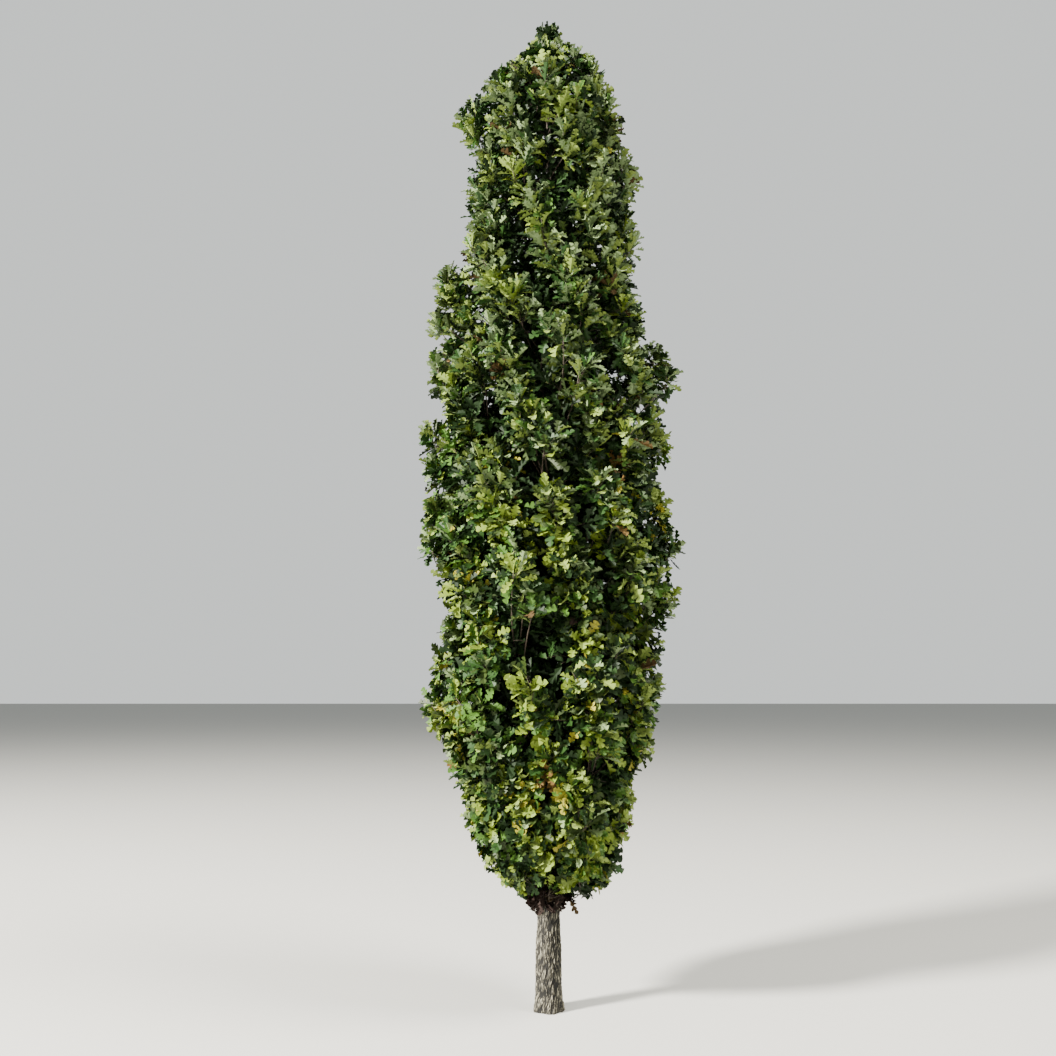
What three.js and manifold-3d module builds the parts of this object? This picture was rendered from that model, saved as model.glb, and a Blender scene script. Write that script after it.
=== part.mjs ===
import * as THREE from "three";
import { mergeVertices } from "three/addons/utils/BufferGeometryUtils.js";
import Module from "manifold-3d";

// A columnar hybrid oak: one straight trunk, steep boughs round it, and a dense, narrow crown of leaves.
// Millimetres, +Z up. The origin is the middle of the flat cut at ground level.
// +X is to the right and +Y away from someone who stands in front of the tree.

const wasm = await Module();
wasm.setup();

const { lerp, clamp, degToRad, smoothstep } = THREE.MathUtils;

// Whole tree
const TREE_HEIGHT = 5500;
const FIT_GAP = 0.3; // between limbs that meet
const FINEST_EDGE = 0.25;
const CLEAR = 0.02; // between any two corners, so that none become one when stored
const SEED = 2000;
const LATER_SEEDS = { foliage_middle_2: 3 }; // masses that start some seeds on

// Trunk
const TRUNK_TOP = 4760; // where the leader enters the top mass
const TRUNK_SIDES = 14;
const TRUNK_RINGS = 22;
const TRUNK_PROFILE = [ // height, radius
  [0, 72],
  [70, 67],
  [300, 66],
  [430, 58],
  [640, 60],
  [1400, 49],
  [TRUNK_TOP, 15],
];
const FLARE_REACH = 12; // how far the root swellings stand out at the ground
const FLARE_HEIGHT = 130;
const FLARE_COUNT = 5;
const TRUNK_LEAN = 20; // sideways, at the top
const TRUNK_SWAY = 9;
const SWAY_LENGTH = 1900;

// Crown outline
const CROWN_PROFILE = [ // height, radius from the trunk's axis
  [540, 110],
  [700, 300],
  [900, 430],
  [1450, 580],
  [2300, 635],
  [3400, 640],
  [3950, 520],
  [4850, 440],
  [5110, 325],
  [5200, 240],
  [5290, 120],
  [5360, 55],
  [TREE_HEIGHT, 35],
];
const WAVE_DEPTH = 30; // how uneven the crown is between its tufts
const TUFT_TALL = 130;
const TUFT_WIDE = 170;
const TUFT_LEAF_ROOM = 195; // between the end of a tuft's twig and the furthest tip of its leaf
const LEFT = 180;
const RIGHT = 0;
const TUFTS = [ // shoot tips that stand proud at the crown's two edges: height, side in degrees, reach
  [4880, LEFT, 110],
  [3920, LEFT, 125],
  [3680, LEFT, 90],
  [3000, LEFT, 60],
  [2560, LEFT, 65],
  [1520, LEFT, 80],
  [5210, RIGHT, 50],
  [4520, RIGHT, 85],
  [3340, RIGHT, 95],
  [2380, RIGHT, 90],
  [2140, RIGHT, 100],
  [1640, RIGHT, 50],
  [680, RIGHT, 90],
];
const HOLLOWS = [ // shaded gaps on the front: height, sideways place, radius
  [1690, 10, 120],
  [1230, 260, 90],
  [4350, 20, 80],
];

// Tiers of foliage, each a ring of masses that slopes up and out as the boughs do
const TIER_RISE = 0.9; // of a tier's edge, for each unit outwards
const TIERS = [ // height of the lower edge and of the lowest bough, both at the trunk
  { name: "foot", base: 340, boughs: 600, masses: 4, turn: 42 },
  { name: "low", base: 1290, boughs: 1370, masses: 5, turn: 12 },
  { name: "middle", base: 2130, boughs: 2210, masses: 5, turn: 50 },
  { name: "high", base: 2970, boughs: 3050, masses: 4, turn: 20 },
  { name: "neck", base: 3810, boughs: 3890, masses: 4, turn: 65 },
];
const TOP_BASE = 4640;
const TOP_ROOM = 130; // between the top stem's tip and the tree's highest leaf
const SPACE_MARGIN = 8; // kept clear inside every edge of a mass's space
const ROUND_MARGIN = 12; // more, under a sloping edge, where a straight leaf would cut the curve
const TRUNK_MARGIN = 30;

// Boughs
const BOUGH_SIDES = 6;
const BOUGH_RINGS = 4;
const BOUGH_STAGGER = 26; // between neighbours, so that they don't leave the trunk at one height
const BOUGH_RISE = 1.9; // for each unit outwards
const BOUGH_SHARE = 0.28; // of the crown's radius, at the bough's tip
const BOUGH_BASE_RADIUS = 17;
const BOUGH_TIP_SHARE = 0.62;
const BOUGH_THINNING = 0.5; // of the radius, from the lowest bough to the highest
const COLLAR = 0.35; // how much wider a bough is where it leaves the trunk

// Masses of foliage
const STEM_SIDES = 5;
const STEM_RINGS = 3;
const STEM_BEND = 0.4; // of its length, before it has turned from its bough's line
const STEM_SHARE = 0.6; // of the crown's radius, at the stem's tip
const STEM_TOP_ROOM = 150; // between the stem's tip and the top of its space
const CORE_REACH = 0.8; // of the crown's radius
const CORE_SIDE_RECESS = 0.03; // less than that, beside its neighbours
const CORE_FOOT_RECESS = 0.06; // less, at its lower edge
const TOP_CORE_ROOM = 240; // between the top core and the tree's highest leaf
const CORE_MARGIN = 16; // more than a leaf's, inside the sloping edges
const CORE_FROM_BOUGH = 28; // outwards from a bough's tip
const CORE_HOLLOW = 0.42; // of the crown's radius, which the cores leave open round the trunk
const TWIGS = 10; // each ends in a leaf
const TWIG_RADIUS = 8;
const TWIG_RISE = 0.6; // of a twig's foot below its tip, for each unit outwards
const TWIG_REACH = 0.87; // of the crown's radius, at a twig's tip
const CORE_LEAVES = 32; // that stand out of the core
const TURN = 0.618; // of the mass's width, from each twig or leaf to the next one up
const LIMB_ROOM = 6; // between a mass's twigs and leaves and its bough and trunk

// Leaves, each as large as a small spray of real ones
const LEAF_LENGTH = 205;
const LEAF_WIDTH = 145;
const LEAF_THICKNESS = 6;
const LEAF_WIDEST = 0.58; // of the length, from the root
const LEAF_SUNK = 20; // of the root, along the leaf
const LEAF_DEPTH = 50; // of the root, into the core
const LEAF_SPREAD = 0.16; // of the size, from leaf to leaf
const FULL_SIZE_RADIUS = 380; // where the crown is narrower, its leaves are smaller
const LEAST_SIZE = 0.55;
const LEAF_OUTWARD = [0.8, 0.3, 0.65, 0.5, 0.2, 0.72, 0.4, 0.1]; // how far it turns to the outside
const TUFT_OUTWARD = [0.98, 0.94]; // the same, for the leaves of tufts
const LEADER_LEAVES = [ // way in degrees, outwards for each unit up, foot under the leader's tip
  [80, 0, 0],
  [5, 0.9, 22],
  [200, 0.7, 41],
];
const TRIES = 32;
const LEAST_SUNK = 0.008; // of a leaf's volume
const MOST_BURIED = 0.3;
const MOST_NEW_FACES = 30; // a leaf that crosses other leaves brings more faces than this
const MOST_TWIG_FACES = 60; // the same, for a twig with its leaf
const MOST_TUFT_FACES = 90;

const BARK_COLOUR = 0x7d7468;
const BOUGH_COLOUR = 0x6b6054;
const LEAF_COLOURS = [0x4c6b23, 0x55752a, 0x43611f, 0x5d7a2e];

const UP = new THREE.Vector3(0, 0, 1);

/** A repeatable stream of numbers from 0 to 1. */
function randomStream(seed) {
  let state = seed >>> 0;
  return () => {
    state = (state + 0x6d2b79f5) >>> 0;
    let mixed = Math.imul(state ^ (state >>> 15), state | 1);
    mixed ^= mixed + Math.imul(mixed ^ (mixed >>> 7), mixed | 61);
    return ((mixed ^ (mixed >>> 14)) >>> 0) / 4294967296;
  };
}

/** The value of a profile of [height, value] pairs at a height. */
function profileAt(profile, height) {
  const above = profile.findIndex(([level]) => level >= height);
  if (above <= 0) return profile[above === 0 ? 0 : profile.length - 1][1];
  const [lowHeight, lowValue] = profile[above - 1];
  const [highHeight, highValue] = profile[above];
  return lerp(lowValue, highValue, (height - lowHeight) / (highHeight - lowHeight));
}

/** The middle of the trunk at a height. It is straight up at the ground. */
function trunkAxis(height) {
  const share = clamp(height / TREE_HEIGHT, 0, 1);
  const sway = TRUNK_SWAY * smoothstep(share, 0, 0.3);
  return new THREE.Vector3(
    TRUNK_LEAN * share * share + sway * Math.sin(height / SWAY_LENGTH * 2 * Math.PI),
    sway * Math.sin(height / SWAY_LENGTH * 2 * Math.PI * 0.7),
    height,
  );
}

/** A point given by its way round the trunk, its distance from the axis and its height. */
function roundTrunk(angle, distance, height) {
  const point = trunkAxis(height);
  point.x += distance * Math.cos(angle);
  point.y += distance * Math.sin(angle);
  return point;
}

/** The way round the trunk and the distance from its axis of a point. */
function placeOf(point) {
  const axis = trunkAxis(point.z);
  const x = point.x - axis.x;
  const y = point.y - axis.y;
  return { angle: Math.atan2(y, x), distance: Math.hypot(x, y) };
}

/** The signed turn from one angle to another, from -PI to PI. */
function turnBetween(from, to) {
  return Math.atan2(Math.sin(to - from), Math.cos(to - from));
}

/** How far the crown reaches from the trunk's axis. */
function crownRadius(angle, height) {
  const plain = profileAt(CROWN_PROFILE, height);
  const wave = Math.sin(3 * angle + height / 310) * Math.sin(2 * angle + height / 190);
  let reach = plain + WAVE_DEPTH * wave * smoothstep(plain, 60, 300);
  for (const [level, side, proud] of TUFTS) {
    const across = plain * turnBetween(degToRad(side), angle) / TUFT_WIDE;
    const along = (height - level) / TUFT_TALL;
    reach += proud * Math.exp(-across * across - along * along);
  }
  return reach;
}

/** A three.js geometry as a closed solid that can be joined and cut. */
function solidOf(geometry) {
  geometry.deleteAttribute("normal");
  geometry.deleteAttribute("uv");
  const merged = mergeVertices(geometry);
  return new wasm.Manifold(new wasm.Mesh({
    numProp: 3,
    vertProperties: new Float32Array(merged.attributes.position.array),
    triVerts: new Uint32Array(merged.index.array),
  }));
}

/** The largest single body of a solid, without its finest slivers, as a three.js geometry. */
function geometryOf(solid) {
  const bodies = solid.simplify(FINEST_EDGE).decompose();
  const largest = bodies.sort((a, b) => b.volume() - a.volume())[0];
  const mesh = largest.getMesh();
  const geometry = new THREE.BufferGeometry();
  geometry.setAttribute("position", new THREE.BufferAttribute(mesh.vertProperties, 3));
  geometry.setIndex(new THREE.BufferAttribute(mesh.triVerts, 1));
  return geometry;
}

/** True if all corners of a geometry stand clear of each other. They are sorted into cells, twice. */
function isClear(geometry) {
  return [0, CLEAR / 2].every((shift) => {
    const cells = mergeVertices(geometry.clone().translate(shift, shift, shift), CLEAR);
    return cells.attributes.position.count === geometry.attributes.position.count;
  });
}

/** A round limb: a cylinder whose rings are moved onto a path. Level rings stay horizontal. */
function limb({ path, radius, sides, rings, level = false }) {
  const geometry = new THREE.CylinderGeometry(1, 1, 1, sides, rings);
  const place = geometry.attributes.position;
  const step = 0.01;
  for (let i = 0; i < place.count; i++) {
    const share = place.getY(i) + 0.5;
    const along = level
      ? UP
      : path(Math.min(share + step, 1)).sub(path(Math.max(share - step, 0))).normalize();
    const first = new THREE.Vector3(1, 0, 0).addScaledVector(along, -along.x).normalize();
    const second = new THREE.Vector3().crossVectors(first, along);
    const angle = Math.atan2(place.getZ(i), place.getX(i));
    const reach = radius(share, angle);
    const point = path(share)
      .addScaledVector(first, reach * place.getX(i))
      .addScaledVector(second, reach * place.getZ(i));
    place.setXYZ(i, point.x, point.y, point.z);
  }
  return solidOf(geometry);
}

/** The trunk's radius. Root swellings stand out of it near the ground. */
function trunkRadius(height, angle = 0) {
  const swelling = FLARE_REACH * (1 - smoothstep(height, 0, FLARE_HEIGHT));
  return profileAt(TRUNK_PROFILE, height) + swelling * (0.5 + 0.5 * Math.cos(FLARE_COUNT * angle + 0.6));
}

/** The trunk, with closer rings near the ground. When grown, it is the space that neighbours leave free. */
function trunkSolid(grown = 0) {
  const heightAt = (share) => TRUNK_TOP * share ** 1.6;
  return limb({
    path: (share) => trunkAxis(heightAt(share)),
    radius: (share, angle) => trunkRadius(heightAt(share), angle) + grown,
    sides: TRUNK_SIDES,
    rings: TRUNK_RINGS,
    level: true,
  });
}

/** One bough: a steep limb that leaves the trunk, turns up, and ends where its mass begins. */
function planBough(tier, index) {
  const angle = degToRad(tier.turn) + index * 2 * Math.PI / tier.masses;
  const foot = tier.boughs + BOUGH_STAGGER * (index % 3);
  const reach = BOUGH_SHARE * profileAt(CROWN_PROFILE, foot + 500);
  const tipHeight = foot + BOUGH_RISE * (reach - trunkRadius(foot));
  const start = trunkAxis(foot - 0.4 * trunkRadius(foot));
  const knee = roundTrunk(angle, 0.62 * reach, lerp(foot, tipHeight, 0.4));
  const tip = roundTrunk(angle, reach, tipHeight);
  const thick = BOUGH_BASE_RADIUS * (1 - BOUGH_THINNING * foot / TREE_HEIGHT);
  return {
    angle,
    tip,
    reach,
    curve: new THREE.QuadraticBezierCurve3(start, knee, tip),
    thick,
    tipRadius: thick * BOUGH_TIP_SHARE,
  };
}

function boughSolid(bough, clearOf) {
  const whole = limb({
    path: (share) => bough.curve.getPoint(share),
    radius: (share) => {
      const collar = 1 + COLLAR * (1 - smoothstep(share, 0, 0.5));
      return lerp(bough.thick, bough.tipRadius, share) * collar;
    },
    sides: BOUGH_SIDES,
    rings: BOUGH_RINGS,
  });
  return whole.subtract(clearOf);
}

/** The space of one mass of a tier: a wedge round the trunk between two sloping edges. */
function tierSpace(tier, index, topBase) {
  const middle = degToRad(tier.turn) + index * 2 * Math.PI / tier.masses;
  const half = Math.PI / tier.masses;
  return {
    middle,
    half,
    base: tier.base,
    topBase,
    width: profileAt(CROWN_PROFILE, lerp(tier.base, topBase, 0.5) + 400),
    floor: CROWN_PROFILE[0][0],
    holds(point, margin) {
      const { angle, distance } = placeOf(point);
      const aside = Math.abs(turnBetween(middle, angle));
      const slope = TIER_RISE * distance;
      return (
        distance > trunkRadius(point.z) + TRUNK_MARGIN + margin &&
        aside < half &&
        distance * Math.sin(Math.min(half - aside, Math.PI / 2)) > margin &&
        point.z > tier.base + slope + margin * Math.SQRT2 &&
        point.z < topBase + slope - (margin + ROUND_MARGIN) * Math.SQRT2
      );
    },
  };
}

/** The space round the leader's tip, above the last tier. */
const topSpace = {
  middle: 0,
  half: Math.PI,
  base: TOP_BASE,
  topBase: TREE_HEIGHT,
  holds: (point, margin) =>
    point.z > TOP_BASE + TIER_RISE * placeOf(point).distance + margin * Math.SQRT2 &&
    point.z > TRUNK_TOP + margin,
};

function insideOutline(point, share = 1) {
  const { angle, distance } = placeOf(point);
  return point.z < TREE_HEIGHT && distance < share * crownRadius(angle, point.z);
}

function inHollow(point) {
  return HOLLOWS.some(([height, sideways, radius]) =>
    point.y < 0 && Math.hypot(point.x - sideways, point.z - height) < radius);
}

/** The corners of a flat, pointed oval leaf that is widest past its middle. */
function leafCorners(foot, along, face, size) {
  const side = new THREE.Vector3().crossVectors(along, face).normalize();
  const normal = new THREE.Vector3().crossVectors(side, along).normalize();
  const at = (length, wide, thick) => foot.clone()
    .addScaledVector(along, length * LEAF_LENGTH * size)
    .addScaledVector(side, wide * LEAF_WIDTH * size / 2)
    .addScaledVector(normal, thick * LEAF_THICKNESS / 2);
  return {
    root: foot.clone().addScaledVector(along, -LEAF_SUNK),
    tip: at(1, 0, 0),
    left: at(LEAF_WIDEST, -1, 1),
    right: at(LEAF_WIDEST, 1, 1),
    top: at(0.35, 0, 1),
    under: at(0.35, 0, -1),
  };
}

/** A leaf: an octahedron whose six corners are moved to the leaf's. */
function leafSolid(leaf) {
  const geometry = new THREE.OctahedronGeometry(1);
  const place = geometry.attributes.position;
  const ends = [[leaf.left, leaf.right], [leaf.root, leaf.tip], [leaf.under, leaf.top]];
  for (let i = 0; i < place.count; i++) {
    const axis = [0, 1, 2].find((n) => Math.abs(place.getComponent(i, n)) > 0.5);
    const corner = ends[axis][place.getComponent(i, axis) > 0 ? 1 : 0];
    place.setXYZ(i, corner.x, corner.y, corner.z);
  }
  return solidOf(geometry);
}

/** A three-sided twig that widens into a leaf at its end: a cone whose rings are moved along both. */
function leafyTwigSolid(foot, tip, thick, leaf) {
  const geometry = new THREE.ConeGeometry(1, 1, 3, 3);
  const place = geometry.attributes.position;
  const twigAlong = tip.clone().sub(foot).normalize();
  const leafSide = leaf.right.clone().sub(leaf.left).normalize();
  const leafFace = leaf.top.clone().sub(leaf.under).normalize();
  const twigFace = new THREE.Vector3().crossVectors(twigAlong, leafSide).cross(twigAlong).negate();
  const ridge = leaf.left.clone().lerp(leaf.right, 0.5);
  const halfWide = leaf.left.distanceTo(leaf.right) / 2;
  const rings = [
    { middle: foot, wide: thick, deep: thick },
    { middle: tip, wide: 0.7 * thick, deep: 0.7 * thick },
    { middle: ridge, wide: halfWide / Math.sin(Math.PI / 3), deep: LEAF_THICKNESS / 1.5 },
    { middle: leaf.tip, wide: 0, deep: 0 },
  ];
  for (let i = 0; i < place.count; i++) {
    const ring = rings[Math.round(3 * (place.getY(i) + 0.5))];
    const onRim = Math.hypot(place.getX(i), place.getZ(i)) > 0.01;
    const angle = Math.atan2(place.getX(i), place.getZ(i));
    const point = ring.middle.clone()
      .addScaledVector(leafSide, onRim ? ring.wide * Math.sin(angle) : 0)
      .addScaledVector(leafFace, onRim ? ring.deep * Math.cos(angle) : 0);
    place.setXYZ(i, point.x, point.y, point.z);
  }
  return solidOf(geometry);
}

/** True if lines between these points stay in the space and in the crown, and the points out of hollows. */
function fits(space, points) {
  return points.every((point, i) => {
    const next = points[(i + 1) % points.length];
    const samples = [0, 0.33, 0.67].map((share) => point.clone().lerp(next, share));
    return !inHollow(point) && samples.every((p) => space.holds(p, SPACE_MARGIN) && insideOutline(p));
  });
}

/** The crown's surface at a point: the way straight out of it, the way up it and the way along it. */
function surfaceAt(point) {
  const level = roundTrunk(placeOf(point).angle, 1, 0).sub(trunkAxis(0));
  const step = 60;
  const wider = profileAt(CROWN_PROFILE, point.z + step) - profileAt(CROWN_PROFILE, point.z - step);
  const slope = wider / (2 * step);
  const climb = UP.clone().addScaledVector(level, clamp(slope, -1.2, 1.2)).normalize();
  const aside = new THREE.Vector3().crossVectors(UP, level);
  return { outward: new THREE.Vector3().crossVectors(aside, climb), climb, aside };
}

/** The way a leaf lies on the crown: turned outwards by a share, and climbing or leaning aside. */
function leafLie({ outward, climb, aside }, out, random) {
  const turn = Math.PI * (1.2 * random() - 0.1);
  const rest = Math.sqrt(1 - out * out);
  const along = outward.clone()
    .multiplyScalar(out)
    .addScaledVector(climb, rest * Math.sin(turn))
    .addScaledVector(aside, rest * Math.cos(turn));
  const face = outward.clone()
    .multiplyScalar(1 - out)
    .addScaledVector(climb, out + 0.4 * random())
    .addScaledVector(aside, 0.8 * (random() - 0.5));
  return { along, face };
}

/** Joins a leaf to a mass if it is sunk but not buried in it, crosses no leaf and keeps off the limbs. */
function growOn(mass, part) {
  const shared = mass.grown.intersect(part).volume() / part.volume();
  if (shared < LEAST_SUNK || shared > MOST_BURIED) return false;
  if (mass.limbs.minGap(part, LIMB_ROOM) < LIMB_ROOM) return false;
  const joined = mass.grown.add(part);
  if (joined.numTri() - mass.grown.numTri() > MOST_NEW_FACES) return false;
  mass.grown = joined;
  return true;
}

/** The size of a leaf at a height, where 1 is full size. */
function leafSize(height, random) {
  const share = clamp(profileAt(CROWN_PROFILE, height) / FULL_SIZE_RADIUS, LEAST_SIZE, 1);
  return share * (1 + LEAF_SPREAD * (2 * random() - 1));
}

/** A leaf that stands out of the core, turned until it fits. */
function growLeaf(mass, foot, random) {
  const size = leafSize(foot.z, random);
  const surface = surfaceAt(foot);
  for (let attempt = 0; attempt < TRIES; attempt++) {
    const { along, face } = leafLie(surface, LEAF_OUTWARD[attempt % LEAF_OUTWARD.length], random);
    const leaf = leafCorners(foot, along, face, size);
    leaf.root.addScaledVector(surface.outward, -LEAF_DEPTH * size);
    const rim = [leaf.right, leaf.tip, leaf.left, leaf.top];
    if (fits(mass.space, rim) && growOn(mass, leafSolid(leaf))) return;
  }
}

/** A twig from the stem, with the leaf at its end, or nothing where it would leave the space. */
function growTwig(mass, foot, tip, outwardShares, mostFaces, random) {
  const samples = [0.15, 0.4, 0.7, 1].map((share) => foot.clone().lerp(tip, share));
  if (!samples.every((point) => mass.space.holds(point, SPACE_MARGIN + TWIG_RADIUS))) return;
  for (let attempt = 0; attempt < TRIES; attempt++) {
    const outward = outwardShares[attempt % outwardShares.length];
    const { along, face } = leafLie(surfaceAt(tip), outward, random);
    const leaf = leafCorners(tip, along, face, leafSize(tip.z, random));
    const rim = [leaf.right, leaf.tip, leaf.left, leaf.top];
    if (!fits(mass.space, rim)) continue;
    const twig = leafyTwigSolid(foot, tip, TWIG_RADIUS, leaf);
    if (mass.limbs.minGap(twig, LIMB_ROOM) < LIMB_ROOM) continue;
    const joined = mass.grown.add(twig);
    if (joined.numTri() - mass.grown.numTri() > mostFaces) continue;
    mass.grown = joined;
    return;
  }
}

/** How far out the cores reach, as a share of the crown's radius, at a place in a mass's space. */
function coreShare(across, up) {
  return CORE_REACH - CORE_SIDE_RECESS * across * across - CORE_FOOT_RECESS * (1 - up) * (1 - up);
}

/** The dense inside of a tier's mass: a block bent to fill its space, as far out as cores reach. */
function coreSolid(space, innerRadius) {
  const geometry = new THREE.BoxGeometry(2, 1, 1, 3, 2, 1);
  const place = geometry.attributes.position;
  for (let i = 0; i < place.count; i++) {
    const across = place.getX(i);
    const up = place.getY(i) + 0.5;
    const out = place.getZ(i) + 0.5;
    const angle = space.middle + across * space.half;
    const guess = lerp(space.base, space.topBase, up) + TIER_RISE * 0.6 * space.width;
    const inner = Math.max(innerRadius, CORE_HOLLOW * crownRadius(angle, guess));
    const reach = Math.max(coreShare(across, up) * crownRadius(angle, guess), inner + 40);
    const distance = lerp(inner, reach, out);
    const lowest = space.base + CORE_MARGIN + SPACE_MARGIN * Math.SQRT2;
    const highest = space.topBase - CORE_MARGIN - (SPACE_MARGIN + ROUND_MARGIN) * Math.SQRT2;
    const height = lerp(lowest, highest, up) + TIER_RISE * distance;
    const point = roundTrunk(angle, distance, height);
    const inwards = SPACE_MARGIN * Math.sign(across) * Math.ceil(Math.abs(across) - 0.99);
    point.x += inwards * Math.sin(angle);
    point.y -= inwards * Math.cos(angle);
    place.setXYZ(i, point.x, point.y, Math.max(point.z, space.floor));
  }
  return solidOf(geometry);
}

/** The dense inside of the top mass: round, and as wide as its space lets it be at each height. */
function topCoreSolid() {
  const lowest = TRUNK_TOP + CORE_MARGIN + 2 * SPACE_MARGIN;
  const heightAt = (share) => lerp(lowest, TREE_HEIGHT - TOP_CORE_ROOM, share);
  return limb({
    path: (share) => trunkAxis(heightAt(share)),
    radius: (share) => Math.min(
      CORE_REACH * profileAt(CROWN_PROFILE, heightAt(share)),
      (heightAt(share) - TOP_BASE - 2 * CORE_MARGIN) / TIER_RISE,
    ),
    sides: 7,
    rings: 3,
    level: true,
  });
}

/** The height at which a space's sloping edge comes out through the crown's outline. */
function edgeHeight(base) {
  let height = Math.max(base, CROWN_PROFILE[0][0]);
  while (height < TREE_HEIGHT && height < base + TIER_RISE * profileAt(CROWN_PROFILE, height)) height += 10;
  return height;
}

/** Points spread evenly over the outside of a space, from its foot to its top. */
function spreadOver(space, count, shareAt, random) {
  const lowest = edgeHeight(space.base);
  const highest = space.topBase === TREE_HEIGHT ? TREE_HEIGHT : edgeHeight(space.topBase);
  const start = random();
  return Array.from({ length: count }, (_, index) => {
    const across = (start + TURN * index) % 1;
    const angle = space.middle + space.half * (2 * lerp(0.06, 0.94, across) - 1);
    const up = (index + random()) / count;
    const height = lerp(lowest, highest, lerp(0.02, 0.94, up));
    return roundTrunk(angle, shareAt(2 * across - 1, up) * crownRadius(angle, height), height);
  });
}

/** Where the twigs of the crown's tufts end, a leaf's length inside their furthest tips. */
function tuftTips(space) {
  const tips = TUFTS.map(([level, side]) => {
    const angle = degToRad(side);
    return roundTrunk(angle, crownRadius(angle, level) - TUFT_LEAF_ROOM, level);
  });
  return tips.filter((tip) => space.holds(tip, 2 * SPACE_MARGIN));
}

/** One mass of foliage: a stem, a dense core, twigs from the stem, and leaves that stand out. */
function massSolid(space, core, stem, limbs, random) {
  const stemSolid = limb({
    path: (share) => stem.curve.getPoint(share),
    radius: (share) => lerp(stem.thick, 0.5 * stem.thick, share),
    sides: STEM_SIDES,
    rings: STEM_RINGS,
  });
  const mass = { space, limbs, grown: core.add(stemSolid) };
  const { z: lowest } = stem.curve.v0;
  const { z: highest } = stem.curve.v2;
  const grow = (tip, outwardShares, mostFaces) => {
    const level = tip.z - TWIG_RISE * placeOf(tip).distance;
    const foot = stem.curve.getPoint(clamp((level - lowest) / (highest - lowest), 0.1, 0.97));
    growTwig(mass, foot, tip, outwardShares, mostFaces, random);
  };
  const plainTips = spreadOver(space, TWIGS, () => TWIG_REACH, random);
  tuftTips(space).forEach((tip) => grow(tip, TUFT_OUTWARD, MOST_TUFT_FACES));
  plainTips.forEach((tip) => grow(tip, LEAF_OUTWARD, MOST_TWIG_FACES));
  for (const foot of spreadOver(space, CORE_LEAVES, coreShare, random)) {
    growLeaf(mass, foot, random);
  }
  if (space === topSpace) growLeaderLeaves(mass, stem.curve.v2);
  return mass.grown;
}

/** The leaves round the tip of the leader, of which the first is the tree's highest. */
function growLeaderLeaves(mass, tip) {
  LEADER_LEAVES.forEach(([way, lean, down]) => {
    const aside = new THREE.Vector3(Math.cos(degToRad(way)), Math.sin(degToRad(way)), 0);
    const along = UP.clone().addScaledVector(aside, lean).normalize();
    const face = UP.clone().multiplyScalar(lean).sub(aside);
    const foot = tip.clone().addScaledVector(UP, -down);
    const size = (TREE_HEIGHT - tip.z) / LEAF_LENGTH / (1 + lean);
    mass.grown = mass.grown.add(leafSolid(leafCorners(foot, along, face, size)));
  });
}

/** A stem that goes on from a limb's tip, a fit gap clear of it and in its line at first. */
function planStem(limbTip, limbAlong, thick, tip) {
  const foot = limbTip.clone().addScaledVector(limbAlong, FIT_GAP);
  const bend = foot.clone().addScaledVector(limbAlong, STEM_BEND * foot.distanceTo(tip));
  return { curve: new THREE.QuadraticBezierCurve3(foot, bend, tip), thick };
}

/** A mass's geometry from the first seed that leaves no two of its leaves just touching. */
function massGeometry(space, core, stem, limbs, firstSeed) {
  for (let seed = firstSeed; ; seed++) {
    const geometry = geometryOf(massSolid(space, core, stem, limbs, randomStream(seed)));
    if (isClear(geometry)) return geometry;
  }
}

const tree = new THREE.Group();
tree.name = "columnar_oak";

function addNode(name, geometry, colour) {
  const material = new THREE.MeshStandardMaterial({ color: colour, roughness: 0.85, metalness: 0 });
  const mesh = new THREE.Mesh(geometry, material);
  mesh.name = name;
  tree.add(mesh);
}

addNode("trunk", geometryOf(trunkSolid()), BARK_COLOUR);
const trunkRoom = trunkSolid(FIT_GAP);

TIERS.forEach((tier, level) => {
  const topBase = level + 1 < TIERS.length ? TIERS[level + 1].base : TOP_BASE;
  for (let index = 0; index < tier.masses; index++) {
    const space = tierSpace(tier, index, topBase);
    const plan = planBough(tier, index);
    const bough = boughSolid(plan, trunkRoom);
    addNode(`bough_${tier.name}_${index + 1}`, geometryOf(bough), BOUGH_COLOUR);
    const stemReach = STEM_SHARE * profileAt(CROWN_PROFILE, topBase + 300);
    const stemTip = roundTrunk(plan.angle, stemReach, topBase + TIER_RISE * stemReach - STEM_TOP_ROOM);
    const stem = planStem(plan.tip, plan.curve.getTangent(1), plan.tipRadius, stemTip);
    const colour = LEAF_COLOURS[(level + index) % LEAF_COLOURS.length];
    const name = `foliage_${tier.name}_${index + 1}`;
    const seed = SEED + 100 * level + 10 * index + (LATER_SEEDS[name] ?? 0);
    const core = coreSolid(space, plan.reach + CORE_FROM_BOUGH);
    addNode(name, massGeometry(space, core, stem, bough.add(trunkRoom), seed), colour);
  }
});

const leaderTip = trunkAxis(TRUNK_TOP);
const topTip = trunkAxis(TREE_HEIGHT - TOP_ROOM);
const topStem = planStem(leaderTip, UP, trunkRadius(TRUNK_TOP), topTip);
const topSeed = SEED + 100 * TIERS.length;
const topMass = massGeometry(topSpace, topCoreSolid(), topStem, trunkRoom, topSeed);
addNode("foliage_top", topMass, LEAF_COLOURS[0]);

export default tree;
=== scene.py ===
"""A columnar hybrid oak in early autumn: bark, boughs, twigs and lobed leaves. Metres, +Z up."""

import functools
import math
from dataclasses import dataclass

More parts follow.
